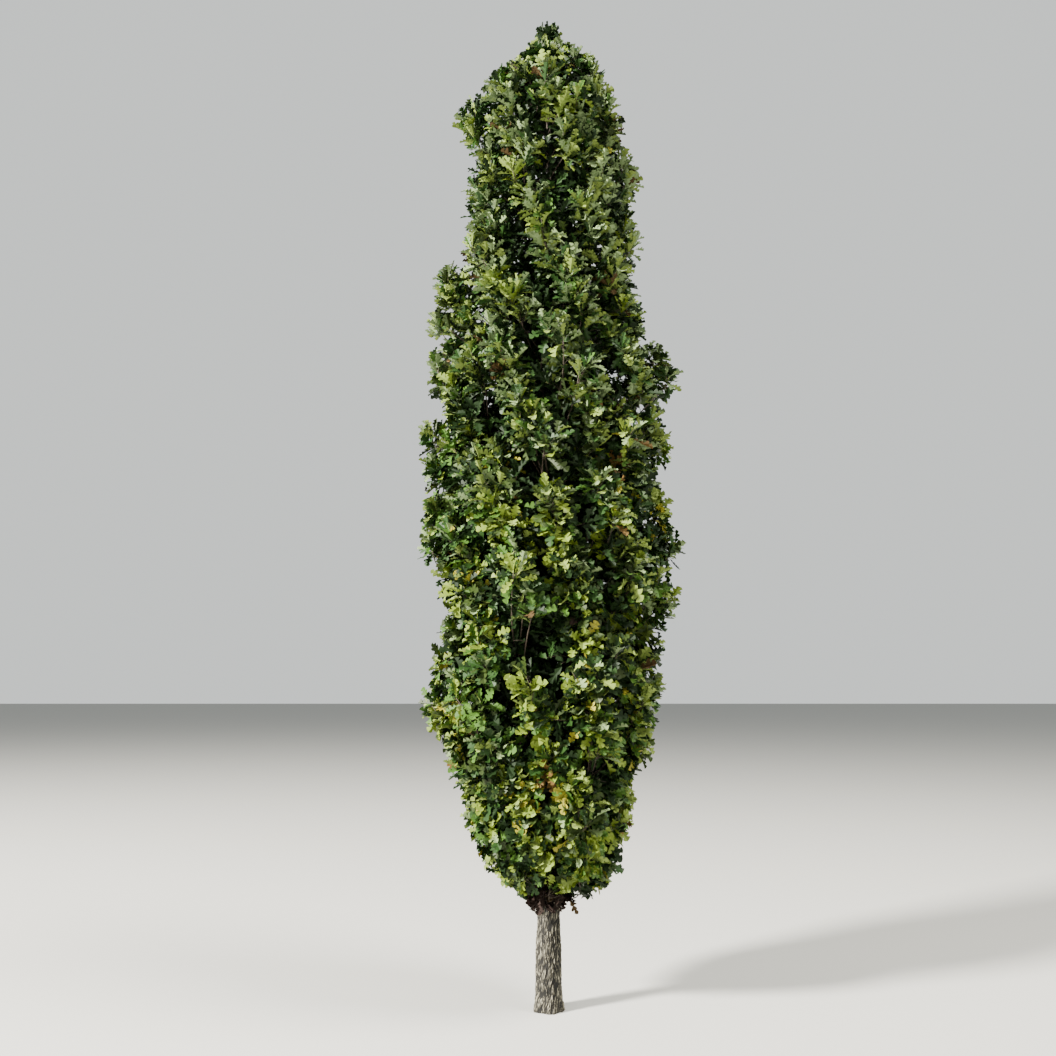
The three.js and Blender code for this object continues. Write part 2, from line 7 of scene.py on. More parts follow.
import bpy
import numpy as np
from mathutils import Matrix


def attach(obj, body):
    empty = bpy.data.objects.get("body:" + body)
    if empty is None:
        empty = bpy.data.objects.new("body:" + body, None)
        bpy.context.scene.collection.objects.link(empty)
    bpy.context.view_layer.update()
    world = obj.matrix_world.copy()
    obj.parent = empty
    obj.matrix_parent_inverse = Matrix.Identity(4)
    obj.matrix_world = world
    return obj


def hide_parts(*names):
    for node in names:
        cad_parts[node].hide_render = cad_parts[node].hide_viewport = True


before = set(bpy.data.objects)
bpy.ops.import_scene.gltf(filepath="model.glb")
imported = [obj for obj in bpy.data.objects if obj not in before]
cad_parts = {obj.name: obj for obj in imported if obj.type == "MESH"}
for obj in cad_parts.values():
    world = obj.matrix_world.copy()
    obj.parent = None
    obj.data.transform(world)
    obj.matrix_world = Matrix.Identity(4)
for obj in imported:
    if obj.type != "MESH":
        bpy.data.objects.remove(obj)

bl_info = {
    "name": "Columnar oak",
    "version": (1, 0, 0),
    "blender": (4, 5, 0),
    "location": "3D View > Sidebar > Oak",
    "description": "Bark, boughs, twigs and lobed leaves of a narrow oak in early autumn",
    "category": "Add Mesh",
}

MM = 0.001
UP = np.array([0.0, 0.0, 1.0])
SUNNY_SIDE = np.array([-0.62, -0.52, 0.58])  # the way that the leaves have turned
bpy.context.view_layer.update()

# Whole tree
TREE_HEIGHT = 5.5
SEED = 2000

# Trunk
TRUNK_TOP = 4.76  # where the leader enters the top mass
BARE_RADIUS = 0.066  # of the trunk below the crown
TRUNK_PROFILE = [  # height, radius
    (0, 0.072),
    (0.07, 0.067),
    (0.3, BARE_RADIUS),
    (0.43, 0.058),
    (0.64, 0.06),
    (1.4, 0.049),
    (TRUNK_TOP, 0.015),
]
FLARE_REACH = 0.012  # how far the root swellings stand out at the ground
FLARE_HEIGHT = 0.13
FLARE_COUNT = 5
FLARE_TURN = 0.6
TRUNK_LEAN = 0.02  # sideways, at the top
TRUNK_SWAY = 0.009
SWAY_LENGTH = 1.9
SWAY_FULL = 0.3  # of the tree's height, where the sway is full
SWAY_RATIO = 0.7  # of the sway's turns, forwards against sideways
FINE_BARK_TOP = 0.72  # below this the trunk shows, and its mesh is finest
FINE_RING = 4.6 * MM  # from each ring of corners to the next
COARSE_RING = 40 * MM
TRUNK_SIDES = 160
TRUNK_SALT = 1  # the boughs' salts follow it

# Bark
MEAN_RELIEF = 0.6  # the height that lies on the limb's plain radius
RIDGE_WAVES = [  # how ridges wander: size in ridges, rate along the limb, waves round it, shift
    (0.5, 2.3, 3, 1),
    (0.25, 5.9, 5, 1.3),
]
RIDGE_PLACE = (0.2, 0.8)  # where a ridge's middle lies in its cell, sideways
RIDGE_SQUEEZE = 0.5  # of the way along, against the way across, so that ridges are long
CRACK_EDGE = (0.02, 0.34)  # where a crack's floor ends and a ridge's face begins
FINE_BARK = (2, 1.7)  # how much finer the second layer of cracks is, across and along
FINE_BARK_FLOOR = 0.5  # of a ridge's height, in the second layer's cracks
STAGGER_SALT, CELL_SALT, FINE_SALT = 7, 5, 3  # so that each use draws other numbers
HASH_FACTORS = (374761393, 668265263, 974634777, 1274126177)
ALL_BITS = 0xffffffff
FAR = 9.0  # in cells, further than any ridge's middle
BOUGH_COLUMNS = 9  # ridges round a bough
BOUGH_RIDGE = 0.6  # of the trunk's ridge length
CAP_ON_SHEET = 0.008  # radius of a limb's end on the flat sheet
CAP_PLACES = ([3, -1.2], [7, -1.2])  # on the sheet, in such radii
SHEET_EDGE = 0.02  # left free round each limb's strip of the sheet

# Crown outline
CROWN_PROFILE = [  # height, radius from the trunk's axis
    (0.54, 0.11),
    (0.7, 0.3),
    (0.9, 0.43),
    (1.45, 0.58),
    (2.3, 0.635),
    (3.4, 0.64),
    (3.95, 0.52),
    (4.85, 0.44),
    (5.11, 0.325),
    (5.2, 0.24),
    (5.29, 0.12),
    (5.36, 0.055),
    (TREE_HEIGHT, 0.035),
]
WAVE_DEPTH = 0.03  # how uneven the crown is between its tufts
WAVES = [(3, 0.31), (2, 0.19)]  # how many lie round the crown, and the height of a radian
WAVE_START = (0.06, 0.3)  # radii of the crown between which the waves grow to their full depth
SLOPE_STEP = 0.06  # up and down, to read the slope of the crown's side
STEEPEST = 1.2
TUFT_TALL = 0.13
TUFT_WIDE = 0.17
LEFT = math.pi
RIGHT = 0.0
TUFTS = [  # shoot tips that stand proud at the crown's two edges: height, side, reach
    *((height, LEFT, reach) for height, reach in (
        (4.88, 0.11), (3.92, 0.125), (3.68, 0.09), (3.34, 0.045), (3.0, 0.06), (2.79, 0.045),
        (2.56, 0.065), (2.37, 0.05), (1.54, 0.055))),
    *((height, RIGHT, reach) for height, reach in (
        (5.26, 0.09), (4.52, 0.085), (3.34, 0.095), (2.97, 0.04), (2.38, 0.09), (2.1, 0.1),
        (1.62, 0.045), (1.3, 0.05), (0.62, 0.13))),
]
HOLLOWS = [  # shaded gaps on the front: height, sideways place, radius
    (1.7, 0.0, 0.1),
    (1.87, -0.06, 0.09),
    (1.23, 0.26, 0.07),
    (4.35, 0.02, 0.06),
    (2.72, -0.06, 0.06),
]
SKY_GAPS = [  # where the sky shows through: height, sideways place, radius
    (3.166, 0.514, 0.03),
    (3.23, 0.409, 0.02),
    (3.36, 0.377, 0.018),
    (3.086, 0.48, 0.018),
    (3.225, -0.34, 0.018),
    (3.141, -0.306, 0.018),
    (4.128, 0.312, 0.022),
    (4.008, 0.266, 0.018),
    (4.254, 0.17, 0.018),
]
HOLLOW_RAGGED = 0.35
HOLLOW_LOBES = 3
HOLLOW_TURN = 40  # of the ragged edge, in radians for each metre of height
HOLLOW_FLOOR = 0.74  # of the crown's radius, behind which the shade's leaves grow
HOLLOW_STATION = 0.7  # of a leaf's length, the place that has to lie outside a hollow
GAP_ROOM = 0.002  # more, between a gap and the middle of a leaf
GAP_STATIONS = (0.2, 0.6, 1.0)  # of a leaf's length, the places that have to lie outside a gap

# Tiers of foliage, each a ring of masses that slopes up and out as the boughs do
TIER_RISE = 0.9  # of a tier's edge, for each unit outwards
EDGE_ABOVE = 0.3  # about how much higher such an edge is at the crown's outside
OUTLINE_STEP = 0.01
OUTLINE_POINTS = 60
TIERS = [  # name, height of the lower edge, height of the lowest bough, masses, turn in degrees
    ("foot", 0.34, 0.6, 4, 42),
    ("low", 1.29, 1.37, 5, 12),
    ("middle", 2.13, 2.21, 5, 50),
    ("high", 2.97, 3.05, 4, 20),
    ("neck", 3.81, 3.89, 4, 65),
]
TOP_BASE = 4.64
TOP_ROOM = 0.13  # between the top stem's tip and the tree's highest leaf
TOP_NUMBER = 502  # added to the seed for the top mass, after those of the tiers
TRUNK_MARGIN = 0.03

# Boughs
BOUGH_SIDES = 20
BOUGH_RINGS = 34
BOUGH_STAGGER = 0.026  # between neighbours, so that they don't leave the trunk at one height
BOUGH_RISE = 1.9  # for each unit outwards
BOUGH_SHARE = 0.28  # of the crown's radius, at the bough's tip
BOUGH_BASE_RADIUS = 0.017
BOUGH_TIP_SHARE = 0.62
BOUGH_THINNING = 0.5  # of the radius, from the lowest bough to the highest
BOUGH_START = 0.4  # of the trunk's radius, below the bough's foot, on the trunk's axis
BOUGH_KNEE = (0.62, 0.4)  # of its reach and of its rise
BOUGH_TIP_ABOVE = 0.5  # about how much higher its tip is than its foot
COLLAR = 0.35  # how much wider a bough is where it leaves the trunk
COLLAR_LENGTH = 0.5  # of the bough's

# Stems and twigs
STEM_BEND = 0.4  # of its length, before it has turned from its bough's line
STEM_SHARE = 0.6  # of the crown's radius, at the stem's tip
STEM_TOP_ROOM = 0.15  # between the stem's tip and the top of its space
STEM_TAPER = 0.45
TWIG_RISE = 0.6  # of a twig's foot below its tip, for each unit outwards
TWIG_FEET = (0.04, 0.98)  # of the stem's length, between which twigs leave it
TWIG_KNEE = 0.6  # of the way from foot to tip
TWIG_WANDER = 0.1  # of its length, at the knee
TWIG_SAG = 0.1  # of its length, at the knee
TWIG_RADIUS = 4.2 * MM
TWIG_TAPER = 0.4
TWIG_LENGTH = 0.4  # of a twig of that radius
TWIG_THICKNESS = (0.6, 1.3)  # of that radius, for shorter and for longer twigs
TWIG_REACH = 0.03  # further out than shoots end, as a share of the way from the trunk
TURN = 0.618  # of the mass's width, from each shoot's tip to the next one up
SHOOTS_PER_TWIG = 4  # of which the first goes on from the stem
SHOOT_RADIUS = 2.1 * MM
SHOOT_LINE = 0.45  # of its length, at the knee, in its twig's line
SHOOT_WANDER = 0.08
SHOOT_TAPER = 0.55
DEEP_LINE = 0.4
DEEP_TAPER = (0.9, 0.5)  # of a shoot's radius
DEEP_MARGIN = 0.02  # inside the edges of a mass's space
TUBE_GUIDE = np.array([0.23, 0.11, 0.97])  # from which a twig's sides are counted
SIDES = {"stem": 7, "twig": 5, "shoot": 4, "deep": 3}
RINGS = {"stem": 9, "twig": 8, "shoot": 5, "deep": 4}
OUTER_REACH = (0.81, 0.99)  # of the crown's radius, at the tips of the outer shoots
VALLEY_DEPTH = 0.2  # of the crown's radius, between its bulges
BULGE_TALL = 0.085
BULGES_ROUND = 6
BULGE_SWAY = (1.7, 2.1)  # how far the valleys wander up and along the crown
BULGE_WAVES = (3, 0.23)  # how many such waves lie round the crown, and the height of a radian
PARENT_START = 2  # the lowest ring of a twig that shoots leave
PARENT_RISE = 0.35  # of a shoot, for each unit of its length, below which it is a poor fit
PARENT_WEIGHT = 2
CLUMPING = 0.56  # how far the shoots' tips draw together round their twig's tip
INNER_REACH = (0.18, 0.86)  # of the crown's radius, at the tips of the deeper shoots
HANGING = (0.6, 1.1)  # heights between which the shoots turn from hanging to rising
UPRIGHT = (2.0, 4.2)  # heights between which they turn from spreading to upright
LEADER_SPRAYS = 4
LEADER_ROOM = 0.075  # between the highest of them and the top
LEADER_REACH = 0.025
TUFT_SHOOTS = [  # how far each ends above the tuft's tip, beside it and inside the outline
    (0, 0, 0.07),
    (0.06, 0.05, 0.08),
    (-0.05, -0.06, 0.07),
    (-0.11, 0.02, 0.06),
]
DEAD_SHOOTS = 15  # in each of the lowest masses, short and with last year's leaves, round the trunk
DEAD_HEIGHTS = (0.56, 0.69)
DEAD_REACH = (0.06, 0.095)
DEAD_BEND = 0.015  # how far they rise before they end
DEAD_RISE = 0.01  # from the trunk to the tip
DEAD_TAPER = 0.6
IN_BARK = 0.93  # of the trunk's radius, where they begin
DEAD_DROOP = 0.05
FOOT_LINE = 0.585  # lowest live leaf
FOOT_WAVE = 0.035  # how much lower it hangs at the two sides, and higher in front and behind
FOOT_RAGGED = 0.025
FOOT_TEETH = 7

# Sprays. Pairs are for the low, spreading shoots and for the high, upright ones
SPRAY_OUT = (0.45, 0.2)  # how far a spray turns straight out of the crown
SPRAY_CLIMB = (0.4, 0.9)  # how far it turns up the crown's surface
HANGING_OUT = 0.5  # more of SPRAY_OUT, where shoots hang
HANGING_DROP = 0.7  # less of SPRAY_CLIMB
SPRAY_WANDER = 0.22
DEEP_FULLNESS = 0.75  # of an outer spray's leaves
DEAD_FULLNESS = 0.5

# Leaves. Pairs are for the low and the high crown, unless a line says otherwise
LEAF_ROOM = 0.028  # the most that a spray may stand out of the crown's outline
PETIOLE = 14 * MM
PETIOLE_RADIUS = 1.1 * MM
WHOLE_TURN = 2 * math.pi
SPIRAL = math.radians(137.5)  # from each leaf to the next one down its shoot
LEAF_GUIDE = np.array([0.31, 0.95, 0.05])  # from which the spiral's turns are counted
CLUSTER = 0.055  # how much of a shoot's end carries leaves
LEAF_TURN_SPREAD = 0.3
FIRST_LEAN = 20  # degrees from the shoot's line, of the leaf at the tip
LAST_LEAN = (84, 70)  # degrees, of the leaf furthest down
LEAN_SPREAD = 10
FACE_OWN = (0.55, 0.7)  # how far a leaf faces as its own place on the shoot sets it
FACE_UP = 0.2
FACE_OUT = (0.4, 0.2)
FACE_SUN = 0.35
FACE_SPREAD = 0.25
LEAF_DROOP = (0.22, 0.08)
LEAF_SIZE = (0.75, 1.12)  # of a full-sized leaf, from the smallest to the largest
SIZE_DOWN_SHOOT = (0.82, 1.05)  # from the tip to the leaf furthest down
SIZE_BY_HEIGHT = (1.03, 0.88)
EDGE_SPREAD = 0.09  # how uneven the lobes are
WIDTH_SPREAD = (0.86, 1.12)
FOLD = (10, 40)  # degrees along the midrib, of the flattest and of the most folded leaf
CURL = (-0.35, 1.25)  # radians down the blade, of the leaf that curls up most and down most
LEAST_CURL = 0.05
RIPPLE = 0.05  # of half the width, at the edge
RIPPLE_RATE = 9
TRUNK_ROOM = 0.01  # between a leaf's tip and the trunk
PULLS_BACK = 3  # how often a leaf is turned back into the crown
MIDRIB = [0, 0.27, 0.5, 0.76, 1]  # of the blade's length
LOBED_EDGE = [  # one side of the blade: share of the length, share of half the width
    (0.16, 0.36),
    (0.25, 0.17),
    (0.38, 0.7),
    (0.46, 0.62),
    (0.49, 0.24),
    (0.64, 1.0),
    (0.73, 0.9),
    (0.74, 0.36),
    (0.88, 0.74),
    (0.96, 0.4),
]
LOBED_FACES = [  # numbers under 5 are the midrib's, and the edge's start at 5
    (1, 0, 5), (1, 5, 6), (1, 6, 7), (1, 7, 8), (1, 8, 2), (2, 8, 9), (2, 9, 10),
    (2, 10, 11), (2, 11, 3), (3, 11, 12), (3, 12, 13), (3, 13, 14), (3, 14, 4),
]
PLAIN_MIDRIB = [0, 0.5, 1]
PLAIN_EDGE = [(0.34, 0.62), (0.45, 0.26), (0.68, 1.0), (0.77, 0.38), (0.92, 0.6)]
PLAIN_FACES = [(1, 0, 3), (1, 3, 4), (1, 4, 5), (1, 5, 6), (1, 6, 7), (1, 7, 2)]

# Tints, dealt out by spray
TINTS = ["deep", "mid", "olive", "fresh", "lime", "yellow", "rust", "dead"]
UNDERSIDES = {
    "deep": "pale", "mid": "pale", "olive": "cream", "fresh": "cream",
    "lime": "cream", "yellow": "cream", "rust": "tan", "dead": "tan",
}
LOWER_TINTS = list(dict.fromkeys(UNDERSIDES.values()))
SEEN_BELOW = (0.0, 0.42)  # how far from below the lowest and the highest leaves are seen
DEAD_TINT = TINTS.index("dead")
HIGH_SHARES = [0.22, 0.3, 0.26, 0.14, 0.055, 0.004, 0.017, 0.004]
LOW_SHARES = [0.12, 0.18, 0.18, 0.23, 0.235, 0.04, 0.011, 0.004]
# Mostly the deep tint: painted shade for the leaves deep inside the crown
INNER_SHADE_SHARES = [0.86, 0.12, 0.02, 0, 0, 0, 0, 0]
TINT_CHANGE = (1.7, 3.3)  # heights between which the low shares give way to the high ones
STRAY_TINT = 0.22  # of the leaves have another tint than their spray

COLOURS = {
    "ridge": ("Weathered face of the bark", "989380"),
    # Near black: partly the bark's own darker cracks, partly painted shade in them
    "furrow": ("Bottom of the bark's cracks", "0c0b08"),
    "twig": ("Smooth bark of twigs and stems", "3a3127"),
    # Darker green on the outside; for the inner sprays it is painted shade
    "deep": ("Leaf in the shade", "14230e"),
    "mid": ("Leaf in summer's green", "223b16"),
    "olive": ("Leaf that begins to turn", "293713"),
    "fresh": ("Younger leaf", "3b591e"),
    "lime": ("Leaf that has turned half", "627424"),
    "yellow": ("Leaf that has turned", "848029"),
    "rust": ("Leaf that is drying", "54401a"),
    "dead": ("Last year's leaf", "1f130d"),
    "pale": ("Lower skin of a green leaf", "6d7f57"),
    "cream": ("Lower skin of a leaf that turns", "6d7e3d"),
    "tan": ("Lower skin of a dry leaf", "42341f"),
}

# Surfaces
BARK_GRAIN = 5.5 * MM
BARK_PATCH = 45 * MM
GRAIN_STRETCH = 0.12  # of its rate, along the trunk
GRAIN_SHARE = 1.1  # in the sum of grain and relief that the colour is read from
RELIEF_SHARE = 0.4
# Low relief takes the furrow's colour, so the cracks carry painted shade as well as their own
# colour
BARK_STOPS = (0.65, 0.82, 1.0)  # where the furrow's, the middle and the ridge's colour lie
MIDDLE_COLOUR = 0.3  # of the way from the furrow's colour to the ridge's
PATCH_STRENGTH = 0.35
BUMP_STRENGTH = 0.7
BUMP_HEIGHT = 0.9 * MM
DRY_TINTS = ("rust", "dead")
WAX_IOR = 1.45
DOWN_IOR = 1.4
FULL_SHEEN = 0.24
FAINT_SHEEN = 0.12
SMOOTH_LEAF = 0.5  # roughness
ROUGH_LEAF = 0.75

# Stage
FLOOR_REACH = 200.0
LAMPS = [  # name, place, target, width
    ("key", (-17.2, -10.4, 12.8), (0, 0, 2.6), 3.6),
    ("side", (7.5, -3.5, 14.0), (0, 0, 3.2), 6.0),
]
LAMP_COLOUR = "fffaf0"
SKY_COLOUR = "e6eae8"
FLOOR_COLOUR = "b8b8b4"
SKY_TURN = (0.3, 0.8)  # way forwards, between which the fill gives way to the backdrop
LENS = 36  # mm, and as wide as the sensor


def linear(code):
    """The linear colour of an sRGB hex code."""
    parts = [int(code[i:i + 2], 16) / 255 for i in (0, 2, 4)]
    return tuple(c / 12.92 if c <= 0.04045 else ((c + 0.055) / 1.055) ** 2.4 for c in parts)


def setting(name, description, default, lowest=0.0, highest=1e6, **settings):
    return bpy.props.FloatProperty(
        name=name, description=description, default=default, min=lowest, max=highest, **settings)


def colour_setting(name, description, code):
    return bpy.props.FloatVectorProperty(
        name=name.title(), description=description, subtype="COLOR", default=linear(code))


class OakCrown(bpy.types.PropertyGroup):
    leaf_length: setting("Leaf length", "Of a full-sized blade", 0.104, 0.05, 0.3, unit="LENGTH")
    leaf_width: setting("Leaf width", "Of a full-sized blade", 0.064, 0.03, 0.2, unit="LENGTH")
    leaves: bpy.props.IntProperty(
        name="Leaves in a spray", description="At the end of each outer shoot", default=12,
        min=3, max=14)
    outer_sprays: setting("Outer sprays", "For each square metre of the crown", 114, 10, 300)
    inner_sprays: setting("Inner sprays", "Plainer, deeper in, for each as well", 170, 0, 400)
    seed: bpy.props.IntProperty(
        name="Seed", description="Start of the branching rule", default=SEED, min=0)


class OakBark(bpy.types.PropertyGroup):
    ridge_width: setting("Ridge width", "At the trunk's foot", 0.0092, 0.005, 0.05, unit="LENGTH")
    ridge_length: setting("Ridge length", "Between cross cracks", 0.06, 0.01, 0.3, unit="LENGTH")
    furrow_depth: setting("Furrow depth", "As a share of the limb's radius", 0.1, 0, 0.3)


class OakColours(bpy.types.PropertyGroup):
    __annotations__ = {name: colour_setting(name, *values) for name, values in COLOURS.items()}


class OakStage(bpy.types.PropertyGroup):
    eye_height: setting("Eye height", "Height of the lens", 1.589, unit="LENGTH")
    distance: setting("Distance", "From the lens to the trunk", 5.715, unit="LENGTH")
    sideways: setting("Sideways", "Lens beside the trunk", -0.105, -10, unit="LENGTH")
    tilt: setting("Tilt", "How far the lens looks up", math.radians(9), subtype="ANGLE")
    key_power: setting("Key light", "Power of the main light", 36000, unit="POWER")
    side_power: setting("Side light", "Power, on the shaded side", 4800, unit="POWER")
    fill: setting("Fill light", "Strength of the light from all round", 0.54)
    backdrop: setting("Backdrop", "Strength of the light from behind the tree", 1.1)


def smoothstep(value, low, high):
    share = np.clip((value - low) / (high - low), 0, 1)
    return share * share * (3 - 2 * share)


def unit(vectors):
    return vectors / np.linalg.norm(vectors, axis=-1, keepdims=True)


def mix(first, second, share):
    return first + (second - first) * share


def profile_at(profile, height):
    levels, values = zip(*profile)
    return np.interp(height, levels, values)


def trunk_axis(height):
    """The middle of the trunk at each height. It is straight up at the ground."""
    height = np.asarray(height, float)
    share = np.clip(height / TREE_HEIGHT, 0, 1)
    sway = TRUNK_SWAY * smoothstep(share, 0, SWAY_FULL)
    turn = WHOLE_TURN * height / SWAY_LENGTH
    across = TRUNK_LEAN * share ** 2 + sway * np.sin(turn)
    return np.stack([across, sway * np.sin(SWAY_RATIO * turn), height], -1)


def round_trunk(angle, distance, height):
    """Points given by their way round the trunk, their distance from its axis and their height."""
    points = trunk_axis(height)
    points[..., 0] += distance * np.cos(angle)
    points[..., 1] += distance * np.sin(angle)
    return points


def place_of(points):
    """The way round the trunk to each point, and the distance from its axis."""
    offset = points - trunk_axis(points[..., 2])
    return np.arctan2(offset[..., 1], offset[..., 0]), np.hypot(offset[..., 0], offset[..., 1])


def turn_between(start, end):
    """The signed turn from one angle to another, within half a turn."""
    return np.arctan2(np.sin(end - start), np.cos(end - start))


def plain_radius(height):
    """The crown's radius without its waves and tufts."""
    return profile_at(CROWN_PROFILE, height)


def crown_radius(angle, height):
    """How far the crown reaches from the trunk's axis, with its waves and tufts."""
    plain = plain_radius(height)
    wave = math.prod(np.sin(count * angle + height / tall) for count, tall in WAVES)
    reach = plain + WAVE_DEPTH * wave * smoothstep(plain, *WAVE_START)
    for level, side, proud in TUFTS:
        across = plain * turn_between(side, angle) / TUFT_WIDE
        along = (height - level) / TUFT_TALL
        reach = reach + proud * np.exp(-across ** 2 - along ** 2)
    return reach


def trunk_radius(height, angle=0.0):
    """The trunk's radius. Root swellings stand out of it near the ground."""
    swelling = FLARE_REACH * (1 - smoothstep(height, 0, FLARE_HEIGHT))
    swelling = swelling * (0.5 + 0.5 * np.cos(FLARE_COUNT * angle + FLARE_TURN))
    return profile_at(TRUNK_PROFILE, height) + swelling


def bezier(start, knee, end, share):
    share = share[..., None]
    return (1 - share) ** 2 * start + 2 * share * (1 - share) * knee + share ** 2 * end


def level_way(angle):
    """The way straight out from the trunk's axis, at an angle round it."""
    return np.stack([np.cos(angle), np.sin(angle), np.zeros_like(angle)], -1)


def surface_at(points):
    """The way straight out of the crown's surface at each point, and the way up it."""
    height = points[..., 2]
    level = level_way(place_of(points)[0])
    wider = plain_radius(height + SLOPE_STEP) - plain_radius(height - SLOPE_STEP)
    slope = np.clip(wider / (2 * SLOPE_STEP), -STEEPEST, STEEPEST)
    climb = unit(UP + slope[..., None] * level)
    return np.cross(np.cross(UP, level), climb), climb


def in_hollow(points):
    found = np.zeros(points.shape[:-1], bool)
    for height, sideways, radius in HOLLOWS:
        across, along = points[..., 0] - sideways, points[..., 2] - height
        turn = HOLLOW_LOBES * np.arctan2(along, across) + HOLLOW_TURN * height
        ragged = radius * (1 + HOLLOW_RAGGED * np.sin(turn))
        found |= (points[..., 1] < 0) & (np.hypot(across, along) < ragged)
    return found


def in_sky_gap(points):
    """True for points on a line of sight that the photo shows open right through the crown."""
    stage = bpy.context.scene.oak_stage
    lens = np.array([stage.sideways, -stage.distance, stage.eye_height])
    reach = (points - lens) * (stage.distance / (points[..., 1:2] - lens[1]))
    seen = lens + reach
    found = np.zeros(points.shape[:-1], bool)
    for height, sideways, radius in SKY_GAPS:
        found |= np.hypot(seen[..., 0] - sideways, seen[..., 2] - height) < radius + GAP_ROOM
    return found


@dataclass(frozen=True)
class Bough:
    """A steep limb that leaves the trunk, turns up, and ends where its mass begins."""

    name: str
    angle: float
    start: tuple
    knee: tuple
    tip: tuple
    thick: float

    def path(self, share):
        return bezier(np.array(self.start), np.array(self.knee), np.array(self.tip), share)

    def radius(self, share):
        collar = 1 + COLLAR * (1 - smoothstep(share, 0, COLLAR_LENGTH))
        return self.thick * mix(1, BOUGH_TIP_SHARE, share) * collar


@dataclass(frozen=True)
class Mass:
    """The space of one mass of foliage, and the stem that its twigs branch from."""

    name: str
    number: int
    middle: float
    half: float
    base: float
    top_base: float
    stem: tuple
    stem_radius: float

    def stem_path(self, share):
        foot, knee, tip = (np.array(point) for point in self.stem)
        return bezier(foot, knee, tip, share)

    def holds(self, points, margin=0.0):
        """True for points between the mass's sloping edges, its neighbours and the trunk."""
        angle, distance = place_of(points)
        slope = TIER_RISE * distance
        held = points[..., 2] > self.base + slope + margin
        if self.half == math.pi:
            return held & (points[..., 2] > TRUNK_TOP)
        aside = np.abs(turn_between(self.middle, angle))
        within = np.clip(self.half - aside, -math.pi / 2, math.pi / 2)
        held &= distance * np.sin(within) > margin
        held &= distance > trunk_radius(points[..., 2]) + TRUNK_MARGIN
        return held & (points[..., 2] < self.top_base + slope - margin)


def plan_bough(name, tier, index):
    _, _, lowest, count, turn = tier
    angle = math.radians(turn) + index * WHOLE_TURN / count
    foot = lowest + BOUGH_STAGGER * (index % 3)
    reach = BOUGH_SHARE * plain_radius(foot + BOUGH_TIP_ABOVE)
    tip_height = foot + BOUGH_RISE * (reach - trunk_radius(foot))
    out, up = BOUGH_KNEE
    return Bough(
        name=name,
        angle=angle,
        start=tuple(trunk_axis(foot - BOUGH_START * trunk_radius(foot))),
        knee=tuple(round_trunk(angle, out * reach, mix(foot, tip_height, up))),
        tip=tuple(round_trunk(angle, reach, tip_height)),
        thick=BOUGH_BASE_RADIUS * (1 - BOUGH_THINNING * foot / TREE_HEIGHT),
    )


def plan_stem(limb_tip, along, tip):
    """A stem that goes on from a limb's tip, in its line at first."""
    foot = np.array(limb_tip)
    bend = foot + STEM_BEND * np.linalg.norm(tip - foot) * along
    return tuple(foot), tuple(bend), tuple(tip)


@functools.cache
def plan_tree():
    """The boughs and the masses of foliage, by the rule of the solids that they stand for."""
    boughs, masses = [], []
    for level, tier in enumerate(TIERS):
        name, base, _, count, _ = tier
        top_base = TIERS[level + 1][1] if level + 1 < len(TIERS) else TOP_BASE
        for index in range(count):
            bough = plan_bough(f"bough_{name}_{index + 1}", tier, index)
            along = unit(np.array(bough.tip) - np.array(bough.knee))
            reach = STEM_SHARE * plain_radius(top_base + EDGE_ABOVE)
            tip = round_trunk(bough.angle, reach, top_base + TIER_RISE * reach - STEM_TOP_ROOM)
            boughs.append(bough)
            masses.append(Mass(
                name=f"foliage_{name}_{index + 1}",
                number=100 * level + 10 * index,
                middle=bough.angle,
                half=math.pi / count,
                base=base,
                top_base=top_base,
                stem=plan_stem(bough.tip, along, tip),
                stem_radius=bough.thick * BOUGH_TIP_SHARE,
            ))
    masses.append(Mass(
        name="foliage_top",
        number=TOP_NUMBER,
        middle=0,
        half=math.pi,
        base=TOP_BASE,
        top_base=TREE_HEIGHT,
        stem=plan_stem(trunk_axis(TRUNK_TOP), UP, trunk_axis(TREE_HEIGHT - TOP_ROOM)),
        stem_radius=float(trunk_radius(TRUNK_TOP)),
    ))
    return boughs, masses


def edge_height(base):
    """The height at which a space's sloping edge comes out through the crown's outline."""
    heights = np.arange(max(base, CROWN_PROFILE[0][0]), TREE_HEIGHT, OUTLINE_STEP)
    inside = heights < base + TIER_RISE * plain_radius(heights)
    return heights[np.argmin(inside)] if not inside.all() else TREE_HEIGHT


def outside_of(mass):
    """Heights up the outside of a mass, and the area below each of them."""
    lowest = edge_height(mass.base)
    highest = TREE_HEIGHT if mass.top_base == TREE_HEIGHT else edge_height(mass.top_base)
    heights = np.linspace(lowest, highest, OUTLINE_POINTS)
    radius = plain_radius(heights)
    step = np.hypot(np.diff(heights), np.diff(radius)) * (radius[1:] + radius[:-1]) * mass.half
    return heights, np.concatenate([[0], np.cumsum(step)])


def spread_over(mass, count, reach, rng):
    """Points spread evenly over the outside of a mass, from its foot to its top."""
    heights, areas = outside_of(mass)
    index = np.arange(count)
    across = (rng.random() + TURN * index) % 1
    angle = mass.middle + mass.half * (2 * across - 1)
    height = np.interp((index + rng.random(count)) / count * areas[-1], areas, heights)
    share = mix(*reach, rng.random(count)) - VALLEY_DEPTH * valley(angle, height)
    return round_trunk(angle, share * crown_radius(angle, height), height)


def valley(angle, height):
    """How far a place on the crown lies between its bulges: 0 on one, 1 in the shade between."""
    (up, aside), (count, tall) = BULGE_SWAY, BULGE_WAVES
    along = np.sin(height / BULGE_TALL + up * np.sin(count * angle))
    across = np.sin(BULGES_ROUND * angle + aside * np.sin(height / tall))
    return 0.5 - 0.5 * along * across


